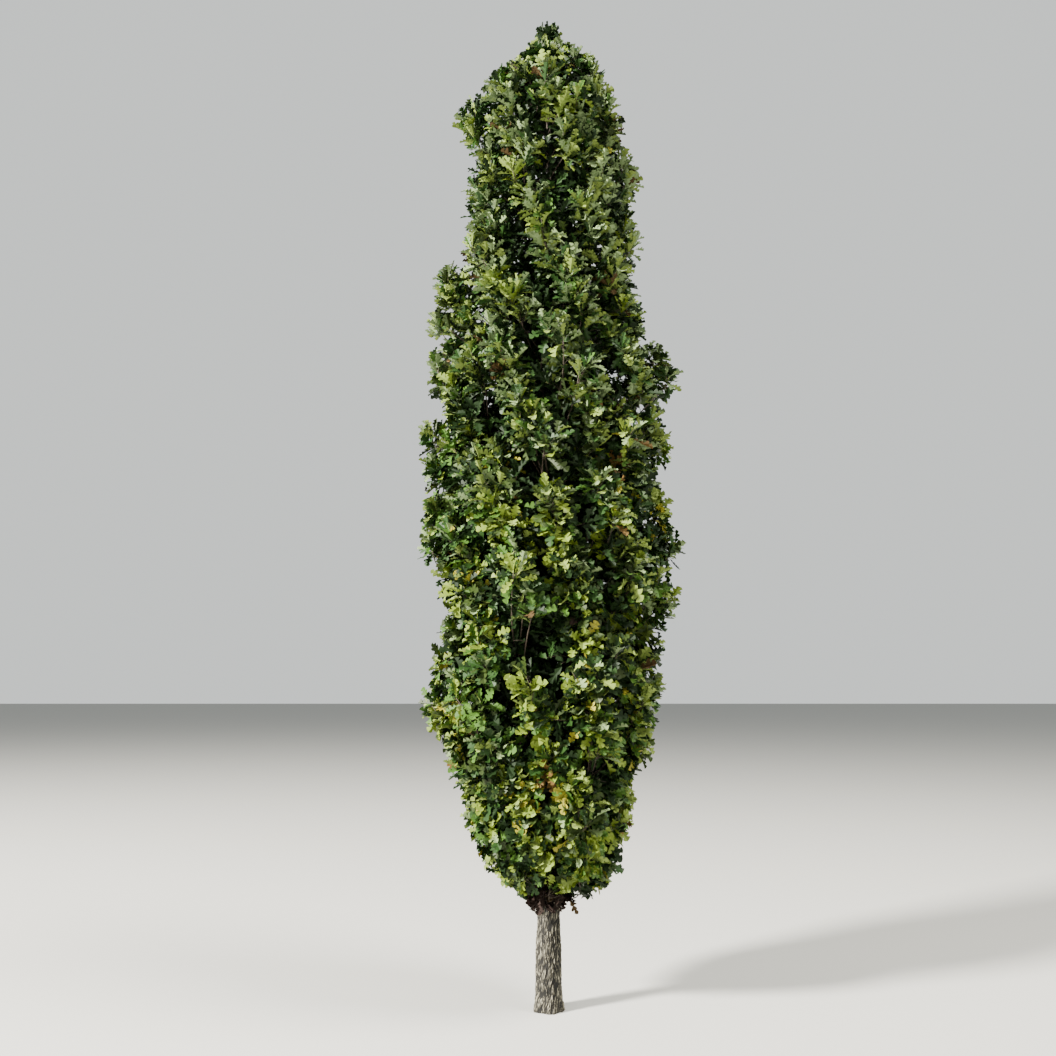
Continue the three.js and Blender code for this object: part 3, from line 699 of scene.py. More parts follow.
def spread_inside(mass, count, rng):
    """Points spread evenly through a mass, between its sloping edges."""
    angle = mass.middle + mass.half * (2 * rng.random(count) - 1)
    level = mix(mass.base, mass.top_base, rng.random(count))
    share = mix(*INNER_REACH, rng.random(count))
    rise = TIER_RISE * share * plain_radius(level + EDGE_ABOVE)
    distance = share * crown_radius(angle, level + rise)
    height = level + TIER_RISE * distance
    points = round_trunk(angle, distance, height)
    inside = (height > FOOT_LINE) & (distance < INNER_REACH[1] * crown_radius(angle, height))
    return points[inside & mass.holds(points, DEEP_MARGIN)]


def tuft_tips(mass):
    """Where the shoots of the crown's tufts end, a little inside the outline."""
    tips = []
    for level, side, _ in TUFTS:
        for higher, aside, inside in TUFT_SHOOTS:
            height = level + higher
            distance = crown_radius(side, height) - inside
            tips.append(round_trunk(side + aside / distance, distance, height))
    tips = np.array(tips)
    return tips[mass.holds(tips)]


def leader_tips(mass):
    """Where the leader's own shoots end, if the mass is the one round it."""
    if mass.half < math.pi:
        return np.empty((0, 3))
    heights = TREE_HEIGHT - np.linspace(LEADER_ROOM, TOP_ROOM, LEADER_SPRAYS)
    return round_trunk(SPIRAL * np.arange(LEADER_SPRAYS), LEADER_REACH, heights)


def nearest_parent(tips, twigs):
    """For each tip, the place on a twig that it branches from: near, and further down and in."""
    stations = np.arange(PARENT_START, twigs.shape[1] - 1)
    places = twigs[:, stations].reshape(-1, 3)
    away = tips[:, None] - places[None]
    distance = np.linalg.norm(away, axis=-1)
    too_level = np.clip(PARENT_RISE * distance - away[..., 2], 0, None)
    best = np.argmin(distance + PARENT_WEIGHT * too_level, axis=1)
    row, column = best // len(stations), stations[best % len(stations)]
    return twigs[row, column], unit(twigs[row, column + 1] - twigs[row, column - 1])


def centre_lines(feet, knees, tips, rings):
    """Bent lines from feet to tips, each with the same count of points."""
    return bezier(feet[:, None], knees[:, None], tips[:, None], np.linspace(0, 1, rings)[None])


def tapered(lines, radius, foot, tip):
    """The radii along some lines, all alike, as shares of one radius at the foot and at the tip."""
    return np.tile(radius * np.linspace(foot, tip, lines.shape[1]), (len(lines), 1))


def branch_to(tips, twigs, rings, lean, rng):
    """Shoots that grow on from the twigs and end at the tips."""
    foot, along = nearest_parent(tips, twigs)
    length = np.linalg.norm(tips - foot, axis=-1, keepdims=True)
    knee = foot + length * (lean * along + SHOOT_WANDER * rng.normal(size=tips.shape))
    return centre_lines(foot, knee, tips, rings)


@dataclass
class Sprays:
    """Where some sprays end, their ways, how far they may stand proud, their tints and fullness."""

    tip: np.ndarray
    axis: np.ndarray
    room: np.ndarray
    tint: np.ndarray
    fullness: float
    outer: bool


@functools.cache
def grow(mass, outer, inner, seed):
    """The twigs of a mass, as batches of centre lines with their radii, and its sprays."""
    rng = np.random.default_rng(seed + mass.number)
    area = outside_of(mass)[1][-1]
    stem = mass.stem_path(np.linspace(0, 1, RINGS["stem"]))[None]
    batches = [(stem, tapered(stem, mass.stem_radius, 1, STEM_TAPER), SIDES["stem"])]

    even = spread_over(mass, round(outer * area), OUTER_REACH, rng)
    tips = np.concatenate([leader_tips(mass), tuft_tips(mass), even])
    tips = tips[~in_hollow(tips)]
    main = np.zeros(len(tips), bool)
    main[::SHOOTS_PER_TWIG] = True
    tips[main] += TWIG_REACH * (tips[main] - trunk_axis(tips[main, 2]))
    near = np.linalg.norm(tips[~main][:, None] - tips[main][None], axis=-1).argmin(1)
    tips[~main] = mix(tips[~main], tips[main][near], CLUMPING)
    level = tips[main, 2] - TWIG_RISE * place_of(tips[main])[1]
    lowest, highest = stem[0, 0, 2], stem[0, -1, 2]
    foot = mass.stem_path(np.clip((level - lowest) / (highest - lowest), *TWIG_FEET))
    length = np.linalg.norm(tips[main] - foot, axis=-1, keepdims=True)
    wander = TWIG_WANDER * rng.normal(size=foot.shape) - TWIG_SAG * UP
    knee = mix(foot, tips[main], TWIG_KNEE) + length * wander
    twigs = centre_lines(foot, knee, tips[main], RINGS["twig"])
    thick = TWIG_RADIUS * np.clip(length / TWIG_LENGTH, *TWIG_THICKNESS)
    batches.append((twigs, thick * np.linspace(1, TWIG_TAPER, RINGS["twig"]), SIDES["twig"]))
    shoots = branch_to(tips[~main], twigs, RINGS["shoot"], SHOOT_LINE, rng)
    batches.append((shoots, tapered(shoots, SHOOT_RADIUS, 1, SHOOT_TAPER), SIDES["shoot"]))
    tips = spread_inside(mass, round(inner * area), rng)
    deep = branch_to(tips, twigs, RINGS["deep"], DEEP_LINE, rng)
    batches.append((deep, tapered(deep, SHOOT_RADIUS, *DEEP_TAPER), SIDES["deep"]))

    grown = ((twigs, True), (shoots, True), (deep, False))
    sprays = [sprays_of(lines, outside, rng) for lines, outside in grown]
    if mass.base == TIERS[0][1]:
        dead = dead_shoots(mass, rng)
        batches.append((dead, tapered(dead, SHOOT_RADIUS, 1, DEAD_TAPER), SIDES["shoot"]))
        axis = unit(dead[:, -1] - dead[:, -3] - DEAD_DROOP * UP)
        tint = np.full(len(dead), DEAD_TINT)
        sprays.append(Sprays(dead[:, -1], axis, np.zeros(len(dead)), tint, DEAD_FULLNESS, True))
    return batches, sprays


def sprays_of(lines, outer, rng):
    """The sprays at the ends of some shoots. They hang low down and stand upright high up."""
    tips = lines[:, -1]
    axis = unit(tips - lines[:, -2])
    outward, climb = surface_at(tips)
    hanging = 1 - smoothstep(tips[:, 2:], *HANGING)
    upright = smoothstep(tips[:, 2:], *UPRIGHT)
    axis = unit(axis + (mix(*SPRAY_OUT, upright) + HANGING_OUT * hanging) * outward
                + (mix(*SPRAY_CLIMB, upright) - HANGING_DROP * hanging) * climb
                + SPRAY_WANDER * rng.normal(size=axis.shape))
    room = LEAF_ROOM * rng.random(len(tips)) ** 2
    tint = deal_tints(tips[:, 2], outer, rng)
    return Sprays(tips, axis, room, tint, 1 if outer else DEEP_FULLNESS, outer)


def dead_shoots(mass, rng):
    """Short shoots of the bare trunk's top, which hold on to last year's leaves."""
    angle = mass.middle + mass.half * (2 * rng.random(DEAD_SHOOTS) - 1)
    height = mix(*DEAD_HEIGHTS, rng.random(DEAD_SHOOTS))
    foot = round_trunk(angle, IN_BARK * profile_at(TRUNK_PROFILE, height), height - DEAD_RISE)
    tip = round_trunk(angle, mix(*DEAD_REACH, rng.random(DEAD_SHOOTS)), height)
    return centre_lines(foot, mix(foot, tip, 0.5) + DEAD_BEND * UP, tip, RINGS["shoot"])


def deal_tints(heights, outer, rng):
    """A tint for each spray or leaf, by its height. Inside the crown, painted shade: mostly the
    deep tint.
    """
    high = smoothstep(heights, *TINT_CHANGE)[:, None]
    shares = mix(np.array(LOW_SHARES), np.array(HIGH_SHARES), high)
    if not outer:
        shares = np.tile(INNER_SHADE_SHARES, (len(heights), 1))
    steps = np.cumsum(shares / shares.sum(1, keepdims=True), axis=1)
    return np.minimum((rng.random(len(heights))[:, None] > steps).sum(1), len(TINTS) - 1)


@dataclass
class Leaves:
    """Where some leaves begin, how they lie, their sizes, room outside the crown, and tints."""

    node: np.ndarray
    along: np.ndarray
    face: np.ndarray
    length: np.ndarray
    room: np.ndarray
    tint: np.ndarray


def leaves_of(sprays, count, leaf_length, rng):
    """The leaves of some sprays, in a spiral down the end of each shoot."""
    count = round(count * sprays.fullness)
    number = np.arange(count)[None, :, None]
    each = (len(sprays.tip), count, 1)
    share = number / (count - 1)
    node = sprays.tip[:, None] - CLUSTER * share * sprays.axis[:, None]
    upright = smoothstep(node[..., 2], *UPRIGHT)[..., None]
    axis = np.broadcast_to(sprays.axis[:, None], node.shape)
    first = unit(np.cross(axis, LEAF_GUIDE))
    second = np.cross(axis, first)
    turn = SPIRAL * number + WHOLE_TURN * rng.random((len(node), 1, 1))
    turn = turn + LEAF_TURN_SPREAD * rng.normal(size=each)
    radial = np.cos(turn) * first + np.sin(turn) * second
    lean = mix(FIRST_LEAN, mix(*LAST_LEAN, upright), share)
    lean = np.radians(lean + LEAN_SPREAD * rng.normal(size=each))
    along = np.cos(lean) * axis + np.sin(lean) * radial
    outward = surface_at(node)[0]
    face = np.sin(lean) * axis - np.cos(lean) * radial
    face = mix(*FACE_OWN, upright) * face + FACE_UP * UP + mix(*FACE_OUT, upright) * outward
    face = face + FACE_SUN * SUNNY_SIDE + FACE_SPREAD * rng.normal(size=node.shape)
    along = along - mix(*LEAF_DROOP, upright) * rng.random(each) * UP
    size = mix(*LEAF_SIZE, rng.random(each)) * mix(*SIZE_DOWN_SHOOT, share)
    size = size * mix(*SIZE_BY_HEIGHT, upright)
    tint = np.repeat(sprays.tint[:, None], count, 1)
    stray = rng.random(tint.shape) < STRAY_TINT
    other = deal_tints(node[..., 2].ravel(), sprays.outer, rng).reshape(tint.shape)
    tint = np.where(stray, other, tint)
    return Leaves(
        node=node.reshape(-1, 3),
        along=unit(along.reshape(-1, 3)),
        face=face.reshape(-1, 3),
        length=leaf_length * size.ravel(),
        room=np.repeat(sprays.room, count),
        tint=tint.ravel(),
    )


def keep_inside(leaves, outer):
    """Turns leaves back that reach out of the crown. Drops those that still do, or close a gap."""
    for _ in range(PULLS_BACK):
        tip = leaves.node + leaves.length[:, None] * leaves.along
        angle, distance = place_of(tip)
        over = np.clip(distance - crown_radius(angle, tip[:, 2]) - leaves.room, 0, None)
        leaves.along = unit(leaves.along - (over / leaves.length)[:, None] * level_way(angle))
    tip = leaves.node + (leaves.length + PETIOLE)[:, None] * leaves.along
    angle, distance = place_of(tip)
    kept = distance < crown_radius(angle, tip[:, 2]) + leaves.room + PETIOLE
    kept &= tip[:, 2] < TREE_HEIGHT + PETIOLE
    ragged = FOOT_RAGGED * np.cos(FOOT_TEETH * angle + 1)
    foot_line = FOOT_LINE - FOOT_WAVE * np.cos(2 * angle) - ragged
    kept &= (tip[:, 2] > foot_line) | (leaves.tint == DEAD_TINT)
    before_floor = outer | (distance > HOLLOW_FLOOR * crown_radius(angle, tip[:, 2]))
    kept &= ~(before_floor & in_hollow(mix(leaves.node, tip, HOLLOW_STATION)))
    for share in GAP_STATIONS:
        kept &= ~in_sky_gap(mix(leaves.node, tip, share))
    kept &= distance > trunk_radius(tip[:, 2]) + TRUNK_ROOM
    for name in ("node", "along", "face", "length", "room", "tint"):
        setattr(leaves, name, getattr(leaves, name)[kept])
    return leaves


def blade_pattern(midrib, edge, faces):
    """A blade's flat points, with both sides, and its faces."""
    middle = [(x, 0.0) for x in midrib]
    points = middle + list(edge) + [(x, -y) for x, y in edge]
    faces = np.array(faces)
    mirrored = np.where(faces >= len(middle), faces + len(edge), faces)[:, ::-1]
    return np.array(points), np.concatenate([faces, mirrored])


def blade_points(leaves, points, width_share, rng):
    """Each leaf's points in space: folded along its midrib, curled down to its tip, and uneven."""
    count = len(leaves.node)
    side = unit(np.cross(leaves.face, leaves.along))
    normal = np.cross(leaves.along, side)
    jitter = 1 + EDGE_SPREAD * rng.normal(size=(count, len(points)))
    reach = np.broadcast_to(points[:, 0], (count, len(points)))
    across = points[:, 1] * jitter
    half_width = leaves.length * width_share / 2 * mix(*WIDTH_SPREAD, rng.random(count))
    half_width = half_width[:, None]
    fold = np.radians(mix(*FOLD, rng.random(count)))[:, None]
    curl = mix(*CURL, rng.random(count))[:, None]
    curl = np.where(np.abs(curl) < LEAST_CURL, LEAST_CURL, curl)
    wave = np.sin(RIPPLE_RATE * reach + WHOLE_TURN * rng.random((count, 1)))
    ripple = RIPPLE * wave * np.abs(across)
    lift = half_width * np.abs(across) * (np.sin(fold) + ripple)
    length = leaves.length[:, None]
    bend = curl * reach
    forward = length * np.sin(bend) / curl + lift * np.sin(bend)
    rise = lift * np.cos(bend) - length * (1 - np.cos(bend)) / curl
    aside = half_width * across * np.cos(fold)
    base = (leaves.node + PETIOLE * leaves.along)[:, None]
    placed = base + forward[..., None] * leaves.along[:, None]
    placed = placed + aside[..., None] * side[:, None] + rise[..., None] * normal[:, None]
    return placed, normal


def lobed_leaves(leaves, width_share, rng):
    """Lobed leaves on stalks. One that turns its lower skin outwards has that skin's tint."""
    points, faces = blade_pattern(MIDRIB, LOBED_EDGE, LOBED_FACES)
    blade, normal = blade_points(leaves, points, width_share, rng)
    start = leaves.node
    side = unit(np.cross(normal, leaves.along))
    stalk = np.stack([
        start + PETIOLE_RADIUS * side,
        start - PETIOLE_RADIUS * side,
        start - PETIOLE_RADIUS * normal,
        blade[:, 0],
    ], 1)
    stalk_faces = np.array([(0, 1, 3), (1, 2, 3), (2, 0, 3)]) + len(points)
    below = mix(*SEEN_BELOW, smoothstep(start[:, 2:], *UPRIGHT))
    seen_from = surface_at(start)[0] - below * UP
    turned = (normal * seen_from).sum(1) < 0
    under = [len(TINTS) + LOWER_TINTS.index(UNDERSIDES[tint]) for tint in TINTS]
    under = np.array(under)[leaves.tint]
    slots = np.concatenate([
        np.repeat(np.where(turned, under, leaves.tint)[:, None], len(faces), 1),
        np.repeat(under[:, None], len(stalk_faces), 1),
    ], 1)
    verts = np.concatenate([blade, stalk], 1)
    return batch_faces(verts, np.concatenate([faces, stalk_faces]), slots, len(MIDRIB))


def plain_leaves(leaves, width_share, rng):
    """Leaves of one skin and few faces, for the shade inside the crown."""
    points, faces = blade_pattern(PLAIN_MIDRIB, PLAIN_EDGE, PLAIN_FACES)
    verts, _ = blade_points(leaves, points, width_share, rng)
    slots = np.repeat(leaves.tint[:, None], len(faces), 1)
    return batch_faces(verts, faces, slots, len(PLAIN_MIDRIB))


def batch_faces(verts, pattern, slots, midrib):
    """Many copies of one small mesh as one shape, with a mark on each one's midrib."""
    count, size = verts.shape[:2]
    faces = pattern[None] + size * np.arange(count)[:, None, None]
    creased = np.tile(np.arange(size) < midrib, count)
    return verts.reshape(-1, 3), [faces.reshape(-1, 3)], slots.ravel(), creased


def turns(sides):
    """The angle of each side of a round limb."""
    return WHOLE_TURN * np.arange(sides) / sides


def rings_round(first, second, sides):
    """Rings of ways out from a line, given two ways square to it at each point."""
    turn = turns(sides)[:, None]
    return np.cos(turn) * first[..., None, :] + np.sin(turn) * second[..., None, :]


def ring_faces(rings, sides):
    """The four-sided faces between rings of corners, and the faces of both ends."""
    step = np.arange(sides)
    following = (step + 1) % sides
    start = np.arange(rings - 1)[:, None] * sides
    above = start + sides
    quads = np.stack([start + step, start + following, above + following, above + step], -1)
    return quads.reshape(-1, 4), np.stack([step[::-1], (rings - 1) * sides + step])


def tubes(lines, radii, sides):
    """Round limbs along centre lines of as many points: corners and groups of faces."""
    count, rings = lines.shape[:2]
    along = unit(np.gradient(lines, axis=1))
    guide = np.cross(along[:, :1], TUBE_GUIDE)
    guide = guide - (guide * along).sum(-1, keepdims=True) * along
    first = unit(guide)
    ring = rings_round(first, np.cross(along, first), sides)
    verts = lines[:, :, None] + radii[..., None, None] * ring
    starts = rings * sides * np.arange(count)[:, None, None]
    quads, ends = ring_faces(rings, sides)
    return verts.reshape(-1, 3), [
        (quads + starts).reshape(-1, 4), (ends + starts).reshape(-1, sides)]


def add_piece(name, verts, faces, materials, slots=None, creased=None):
    """A smooth mesh object from corners, groups of faces of one size, and each face's material.

    An edge between two creased corners is sharp.
    """
    groups = [np.asarray(group) for group in faces]
    corners = np.concatenate([group.ravel() for group in groups])
    totals = np.concatenate([np.full(len(group), group.shape[1]) for group in groups])
    mesh = bpy.data.meshes.new(name)
    mesh.vertices.add(len(verts))
    mesh.vertices.foreach_set("co", np.asarray(verts, np.float32).ravel())
    mesh.loops.add(len(corners))
    mesh.loops.foreach_set("vertex_index", corners.astype(np.int32))
    mesh.polygons.add(len(totals))
    mesh.polygons.foreach_set("loop_start", (np.cumsum(totals) - totals).astype(np.int32))
    mesh.polygons.foreach_set("loop_total", totals.astype(np.int32))
    for material in materials:
        mesh.materials.append(material)
    if slots is not None:
        mesh.polygons.foreach_set("material_index", slots.astype(np.int32))
    mesh.update(calc_edges=True)
    mesh.validate()
    mesh.polygons.foreach_set("use_smooth", np.ones(len(mesh.polygons), bool))
    if creased is not None:
        ends = np.empty(2 * len(mesh.edges), np.int32)
        mesh.edges.foreach_get("vertices", ends)
        sharp = mesh.attributes.new("sharp_edge", "BOOLEAN", "EDGE")
        sharp.data.foreach_set("value", creased[ends.reshape(-1, 2)].all(1))
    piece = bpy.data.objects.new(name, mesh)
    bpy.context.scene.collection.objects.link(piece)
    return piece


def joined(shapes):
    """One shape from several: corners, groups of faces, and a value of each kind for all."""
    corners, groups, *values = zip(*shapes)
    offsets = np.cumsum([0, *map(len, corners)])
    faces = [face + offset for group, offset in zip(groups, offsets) for face in group]
    return np.concatenate(corners), faces, *(np.concatenate(value) for value in values)


def hashed(column, row, salt):
    """A repeatable number from 0 to 1 for each cell, by whole numbers of 32 bits."""
    first, second, third, last = HASH_FACTORS
    value = column.astype(np.int64) * first + row.astype(np.int64) * second + salt * third
    value = value & ALL_BITS
    value = ((value ^ (value >> 13)) * last) & ALL_BITS
    return (value ^ (value >> 16)) / ALL_BITS


def bark_relief(across, along, columns, salt):
    """The height of furrowed bark, from 0 in a crack to 1 on a ridge. It repeats round the limb."""
    bent = across
    for size, rate, waves, shift in RIDGE_WAVES:
        wave = np.sin(rate * along + WHOLE_TURN * across * waves / columns + shift * salt)
        bent = bent + size * wave
    column = np.floor(bent)
    near = np.full(bent.shape, FAR)
    second = near.copy()
    for i in (-1, 0, 1):
        cell = column + i
        wrapped = np.mod(cell, columns)
        staggered = along + hashed(wrapped, np.zeros_like(wrapped), salt + STAGGER_SALT)
        row = np.floor(staggered)
        for j in (-1, 0, 1):
            x = cell + mix(*RIDGE_PLACE, hashed(wrapped, row + j, salt)) - bent
            y = row + j + hashed(wrapped, row + j, salt + CELL_SALT) - staggered
            away = np.hypot(x, RIDGE_SQUEEZE * y)
            second = np.minimum(second, np.maximum(near, away))
            near = np.minimum(near, away)
    return smoothstep(second - near, *CRACK_EDGE)


def bark_tube(points, first, second, radius, depth, columns, length, salt):
    """A limb's skin with bark in relief: corners, faces, heights and places on a flat sheet."""
    rings, sides = radius.shape
    travelled = np.concatenate([[0], np.cumsum(np.linalg.norm(np.diff(points, axis=0), axis=1))])
    across = np.broadcast_to(columns * np.arange(sides) / sides, radius.shape)
    along = np.broadcast_to((travelled / length)[:, None], radius.shape)
    height = bark_relief(across, along, columns, salt)
    narrower, shorter = FINE_BARK
    fine = bark_relief(
        narrower * across, shorter * along, narrower * columns, salt + FINE_SALT)
    relief = height * mix(FINE_BARK_FLOOR, 1, fine)
    reach = radius + depth * radius * (relief - MEAN_RELIEF)
    verts = points[:, None] + reach[..., None] * rings_round(first, second, sides)
    step = np.arange(sides)
    low, high = travelled[:-1], travelled[1:]
    sheet = np.stack(np.broadcast_arrays(
        np.stack([step, step + 1, step + 1, step], -1)[None] / sides,
        np.stack([low, low, high, high], -1)[:, None] / travelled[-1],
    ), -1)
    disc = rings_round(*np.eye(2), sides)
    discs = CAP_ON_SHEET * np.stack([disc[::-1] + CAP_PLACES[0], disc + CAP_PLACES[1]])
    sheet = np.concatenate([sheet.reshape(-1, 2), discs.reshape(-1, 2)])
    return verts.reshape(-1, 3), ring_faces(rings, sides), relief.ravel(), sheet


def bark_piece(name, skins, material):
    """One piece from several limbs' skins. Each has its own strip of the flat sheet."""
    strip = 1 / len(skins)
    verts, faces, relief, sheet = joined(skins)
    number = np.repeat(np.arange(len(skins)), [len(skin[3]) for skin in skins])[:, None]
    sheet = (sheet * (1 - 2 * SHEET_EDGE) + SHEET_EDGE) * [strip, 1] + number * [strip, 0]
    piece = add_piece(name, verts, faces, [material])
    mesh = piece.data
    layer = mesh.attributes.new("relief", "FLOAT", "POINT")
    layer.data.foreach_set("value", relief.astype(np.float32))
    flat = mesh.uv_layers.new(name="OFBake")
    flat.data.foreach_set("uv", sheet.astype(np.float32).ravel())
    return piece


def add_node(tree, kind, values=None, links=None, **settings):
    """Adds a node, with its settings, the values of its inputs and what they are linked to."""
    node = tree.nodes.new(kind)
    for key, value in settings.items():
        setattr(node, key, value)
    for key, value in (values or {}).items():
        node.inputs[key].default_value = value
    for key, source in (links or {}).items():
        tree.links.new(source, node.inputs[key])
    return node


def new_material(name, values):
    material = bpy.data.materials.new(name)
    material.use_nodes = True
    material.node_tree.nodes.clear()
    tree = material.node_tree
    shader = add_node(tree, "ShaderNodeBsdfPrincipled", values)
    add_node(tree, "ShaderNodeOutputMaterial", links={"Surface": shader.outputs["BSDF"]})
    return material, tree, shader


@functools.cache
def leaf_materials():
    """Oak leaf, grown with a waxy upper skin that shines a little, and a downy, matt lower skin."""
    colours = bpy.context.scene.oak_colours
    made = []
    for tint in TINTS + LOWER_TINTS:
        upper = tint in TINTS
        rough = not upper or tint in DRY_TINTS
        # The deep tint, painted shade inside the crown, shines faintly too
        faint = not upper or tint == "deep"
        made.append(new_material(f"{'waxy' if upper else 'downy'}_oak_leaf_{tint}", {
            "Base Color": (*getattr(colours, tint), 1),
            "Roughness": ROUGH_LEAF if rough else SMOOTH_LEAF,
            "IOR": WAX_IOR if upper else DOWN_IOR,
            "Specular IOR Level": FAINT_SHEEN if faint else FULL_SHEEN,
        })[0])
    return made


@functools.cache
def twig_material():
    """Young oak twig, with smooth, dull bark that hasn't split yet."""
    colour = bpy.context.scene.oak_colours.twig
    values = {"Base Color": (*colour, 1), "Roughness": 0.7, "IOR": 1.45}
    return new_material("smooth_oak_twig", values)[0]


@functools.cache
def bark_material():
    """Oak bark, corky and weathered, split by growth into pale ridges and dull, dark furrows,
    partly painted shade.
    """
    colours = bpy.context.scene.oak_colours
    material, tree, shader = new_material("furrowed_oak_bark", {"Roughness": 0.88, "IOR": 1.45})
    relief = add_node(tree, "ShaderNodeAttribute", attribute_name="relief")
    place = add_node(tree, "ShaderNodeTexCoord")
    stretched = add_node(
        tree, "ShaderNodeMapping", {"Scale": (1, 1, GRAIN_STRETCH)},
        {"Vector": place.outputs["Object"]})
    grain = add_node(
        tree, "ShaderNodeTexNoise", {"Scale": 1 / BARK_GRAIN, "Detail": 4, "Roughness": 0.65},
        {"Vector": stretched.outputs["Vector"]})
    patch = add_node(
        tree, "ShaderNodeTexNoise", {"Scale": 1 / BARK_PATCH, "Detail": 2},
        {"Vector": place.outputs["Object"]})
    shade = add_node(
        tree, "ShaderNodeMath", {1: GRAIN_SHARE}, {0: grain.outputs["Fac"]}, operation="MULTIPLY")
    height = add_node(
        tree, "ShaderNodeMath", {1: RELIEF_SHARE},
        {0: relief.outputs["Fac"], 2: shade.outputs[0]}, operation="MULTIPLY_ADD")
    # Dark where the relief is low: the furrows' own colour and painted shade in the cracks
    ramp = add_node(tree, "ShaderNodeValToRGB", links={"Fac": height.outputs[0]})
    stops = ramp.color_ramp.elements
    middle = tuple(mix(np.array(colours.furrow), np.array(colours.ridge), MIDDLE_COLOUR))
    stops[0].position, stops[0].color = BARK_STOPS[0], (*colours.furrow, 1)
    stops[1].position, stops[1].color = BARK_STOPS[2], (*colours.ridge, 1)
    stops.new(BARK_STOPS[1]).color = (*middle, 1)
    tone = add_node(
        tree, "ShaderNodeMix", {"Factor": PATCH_STRENGTH}, data_type="RGBA",
        blend_type="SOFT_LIGHT")
    tree.links.new(ramp.outputs["Color"], tone.inputs["A"])
    tree.links.new(patch.outputs["Fac"], tone.inputs["B"])
    tree.links.new(tone.outputs["Result"], shader.inputs["Base Color"])
    bump = add_node(
        tree, "ShaderNodeBump", {"Strength": BUMP_STRENGTH, "Distance": BUMP_HEIGHT},
        {"Height": grain.outputs["Fac"]})
    tree.links.new(bump.outputs["Normal"], shader.inputs["Normal"])
    return material


@functools.cache
def floor_material():
    """Matt painted floor, pale and even."""
    values = {"Base Color": (*linear(FLOOR_COLOUR), 1), "Roughness": 0.9}
    return new_material("matt_painted_floor", values)[0]


class OAK_OT_trunk(bpy.types.Operator):
    """Grows the trunk, with its root flare and furrowed bark"""

    bl_idname = "oak.trunk"
    bl_label = "Trunk"

    def execute(self, context):
        bark = context.scene.oak_bark
        rings = round(FINE_BARK_TOP / FINE_RING)
        low = np.linspace(0, FINE_BARK_TOP, rings, endpoint=False)
        rings = round((TRUNK_TOP - FINE_BARK_TOP) / COARSE_RING)
        high = np.linspace(FINE_BARK_TOP, TRUNK_TOP, rings)
        heights = np.concatenate([low, high])
        radius = trunk_radius(heights[:, None], turns(TRUNK_SIDES))
        level = np.broadcast_to(np.array([1.0, 0.0, 0.0]), (len(heights), 3))
        columns = round(WHOLE_TURN * BARE_RADIUS / bark.ridge_width)
        skin = bark_tube(
            trunk_axis(heights), level, np.cross(UP, level), radius, bark.furrow_depth, columns,
            bark.ridge_length, TRUNK_SALT)
        piece = bark_piece("bark_trunk", [skin], bark_material())
        hand_over(piece, ["trunk"])
        return {"FINISHED"}


class OAK_OT_boughs(bpy.types.Operator):
    """Grows the boughs of every tier, with finer bark than the trunk's"""

    bl_idname = "oak.boughs"
    bl_label = "Boughs"

    def execute(self, context):
        bark = context.scene.oak_bark
        boughs, _ = plan_tree()
        for tier in TIERS:
            own = [bough for bough in boughs if bough.name.startswith(f"bough_{tier[0]}_")]
            skins = []
            for number, bough in enumerate(own):
                share = np.linspace(0, 1, BOUGH_RINGS)
                points = bough.path(share)
                along = unit(np.gradient(points, axis=0))
                aside = np.array([math.sin(bough.angle), -math.cos(bough.angle), 0.0])
                first = unit(np.cross(along, aside))
                radius = np.repeat(bough.radius(share)[:, None], BOUGH_SIDES, 1)
                skins.append(bark_tube(
                    points, first, np.cross(along, first), radius, bark.furrow_depth,
                    BOUGH_COLUMNS, BOUGH_RIDGE * bark.ridge_length, TRUNK_SALT + 1 + number))
            piece = bark_piece(f"bark_boughs_{tier[0]}", skins, bark_material())
            hand_over(piece, [bough.name for bough in own])
        return {"FINISHED"}


def hand_over(piece, nodes):
    """States what a piece stands for, and that it never moves."""
    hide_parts(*nodes)
    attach(piece, "root")


def grown(context, mass):
    crown = context.scene.oak_crown
    return grow(mass, crown.outer_sprays, crown.inner_sprays, crown.seed)


class OAK_OT_twigs(bpy.types.Operator):
    """Grows the stem, twigs and shoots of every mass of foliage"""

    bl_idname = "oak.twigs"
    bl_label = "Twigs"

    def execute(self, context):
        for mass in plan_tree()[1]:
            verts, faces = joined([tubes(*batch) for batch in grown(context, mass)[0]])
            name = mass.name.replace("foliage", "twigs")
            piece = add_piece(name, verts, faces, [twig_material()])
            hand_over(piece, [mass.name])
        return {"FINISHED"}


class OAK_OT_leaves(bpy.types.Operator):
    """Grows the leaves of every mass of foliage, in sprays at the ends of its shoots"""

    bl_idname = "oak.leaves"
    bl_label = "Leaves"

    def execute(self, context):
        crown = context.scene.oak_crown
        width_share = crown.leaf_width / crown.leaf_length
        for mass in plan_tree()[1]:
            rng = np.random.default_rng(crown.seed + 1 + mass.number)
            shapes = []
            for sprays in grown(context, mass)[1]:
                leaves = leaves_of(sprays, crown.leaves, crown.leaf_length, rng)
                leaves = keep_inside(leaves, sprays.outer)
                shape = lobed_leaves if sprays.outer else plain_leaves
                shapes.append(shape(leaves, width_share, rng))
            verts, faces, slots, creased = joined(shapes)
            name = mass.name.replace("foliage", "leaves")
            piece = add_piece(name, verts, faces, leaf_materials(), slots, creased)
            hand_over(piece, [mass.name])
        return {"FINISHED"}


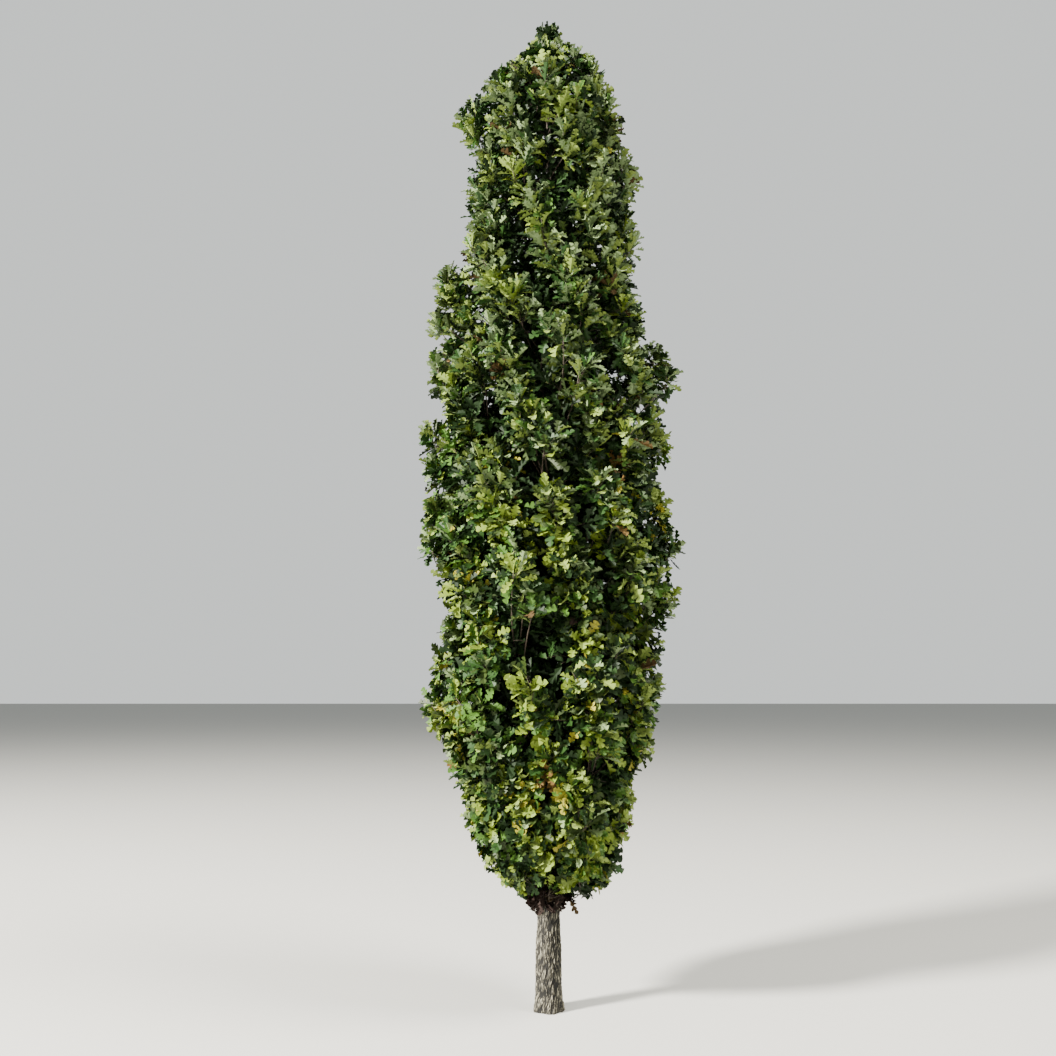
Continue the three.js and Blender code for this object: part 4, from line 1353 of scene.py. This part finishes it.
def area_light(name, place, target, size, power):
    data = bpy.data.lights.new(name, "AREA")
    data.shape = "DISK"
    data.size = size
    data.energy = power
    data.color = linear(LAMP_COLOUR)
    lamp = bpy.data.objects.new(name, data)
    lamp.location = place
    away = [end - start for start, end in zip(place, target)]
    flat = math.hypot(away[0], away[1])
    aside = math.atan2(away[1], away[0]) - math.pi / 2
    lamp.rotation_euler = (math.atan2(flat, -away[2]), 0, aside)
    bpy.context.scene.collection.objects.link(lamp)
    return lamp


class OAK_OT_stage(bpy.types.Operator):
    """Adds the floor, the soft light and the camera"""

    bl_idname = "oak.stage"
    bl_label = "Stage"

    def execute(self, context):
        stage = context.scene.oak_stage
        corners = FLOOR_REACH * np.array([(-1, -1, 0), (1, -1, 0), (1, 1, 0), (-1, 1, 0)])
        floor = add_piece("floor", corners, [np.array([[0, 1, 2, 3]])], [floor_material()])
        for name, place, target, width in LAMPS:
            area_light(name, place, target, width, getattr(stage, f"{name}_power"))
        world = bpy.data.worlds.new("soft_studio")
        world.use_nodes = True
        world.node_tree.nodes.clear()
        tree = world.node_tree
        way = add_node(tree, "ShaderNodeTexCoord")
        parts = add_node(tree, "ShaderNodeSeparateXYZ", links={"Vector": way.outputs["Generated"]})
        limits = {
            "From Min": SKY_TURN[0], "From Max": SKY_TURN[1], "To Min": stage.fill,
            "To Max": stage.backdrop}
        strength = add_node(
            tree, "ShaderNodeMapRange", limits, {"Value": parts.outputs["Y"]},
            interpolation_type="SMOOTHSTEP")
        sky = add_node(
            tree, "ShaderNodeBackground", {"Color": (*linear(SKY_COLOUR), 1)},
            {"Strength": strength.outputs["Result"]})
        add_node(tree, "ShaderNodeOutputWorld", links={"Surface": sky.outputs["Background"]})
        context.scene.world = world
        data = bpy.data.cameras.new("camera")
        data.sensor_width = LENS
        data.lens = LENS
        camera = bpy.data.objects.new("camera", data)
        camera.location = (stage.sideways, -stage.distance, stage.eye_height)
        camera.rotation_euler = (math.pi / 2 + stage.tilt, 0, 0)
        context.scene.collection.objects.link(camera)
        context.scene.camera = camera
        return {"FINISHED"}


class OAK_PT_sidebar(bpy.types.Panel):
    bl_idname = "OAK_PT_sidebar"
    bl_label = "Columnar oak"
    bl_space_type = "VIEW_3D"
    bl_region_type = "UI"
    bl_category = "Oak"

    def draw(self, context):
        for operator in OPERATORS:
            self.layout.operator(operator.bl_idname)
        for name in SETTINGS:
            group = getattr(context.scene, name)
            box = self.layout.box()
            for key in group.bl_rna.properties.keys():
                if key not in ("rna_type", "name"):
                    box.prop(group, key)


OPERATORS = (OAK_OT_stage, OAK_OT_trunk, OAK_OT_boughs, OAK_OT_twigs, OAK_OT_leaves)
SETTINGS = {
    "oak_crown": OakCrown, "oak_bark": OakBark, "oak_colours": OakColours, "oak_stage": OakStage}


def register():
    for kind in (*SETTINGS.values(), *OPERATORS, OAK_PT_sidebar):
        bpy.utils.register_class(kind)
    for name, kind in SETTINGS.items():
        setattr(bpy.types.Scene, name, bpy.props.PointerProperty(type=kind))


def unregister():
    for name in SETTINGS:
        delattr(bpy.types.Scene, name)
    for kind in reversed((*SETTINGS.values(), *OPERATORS, OAK_PT_sidebar)):
        bpy.utils.unregister_class(kind)


def main():
    register()
    bpy.ops.oak.stage()
    bpy.ops.oak.trunk()
    bpy.ops.oak.boughs()
    bpy.ops.oak.twigs()
    bpy.ops.oak.leaves()
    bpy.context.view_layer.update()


if __name__ == "__main__":
    main()
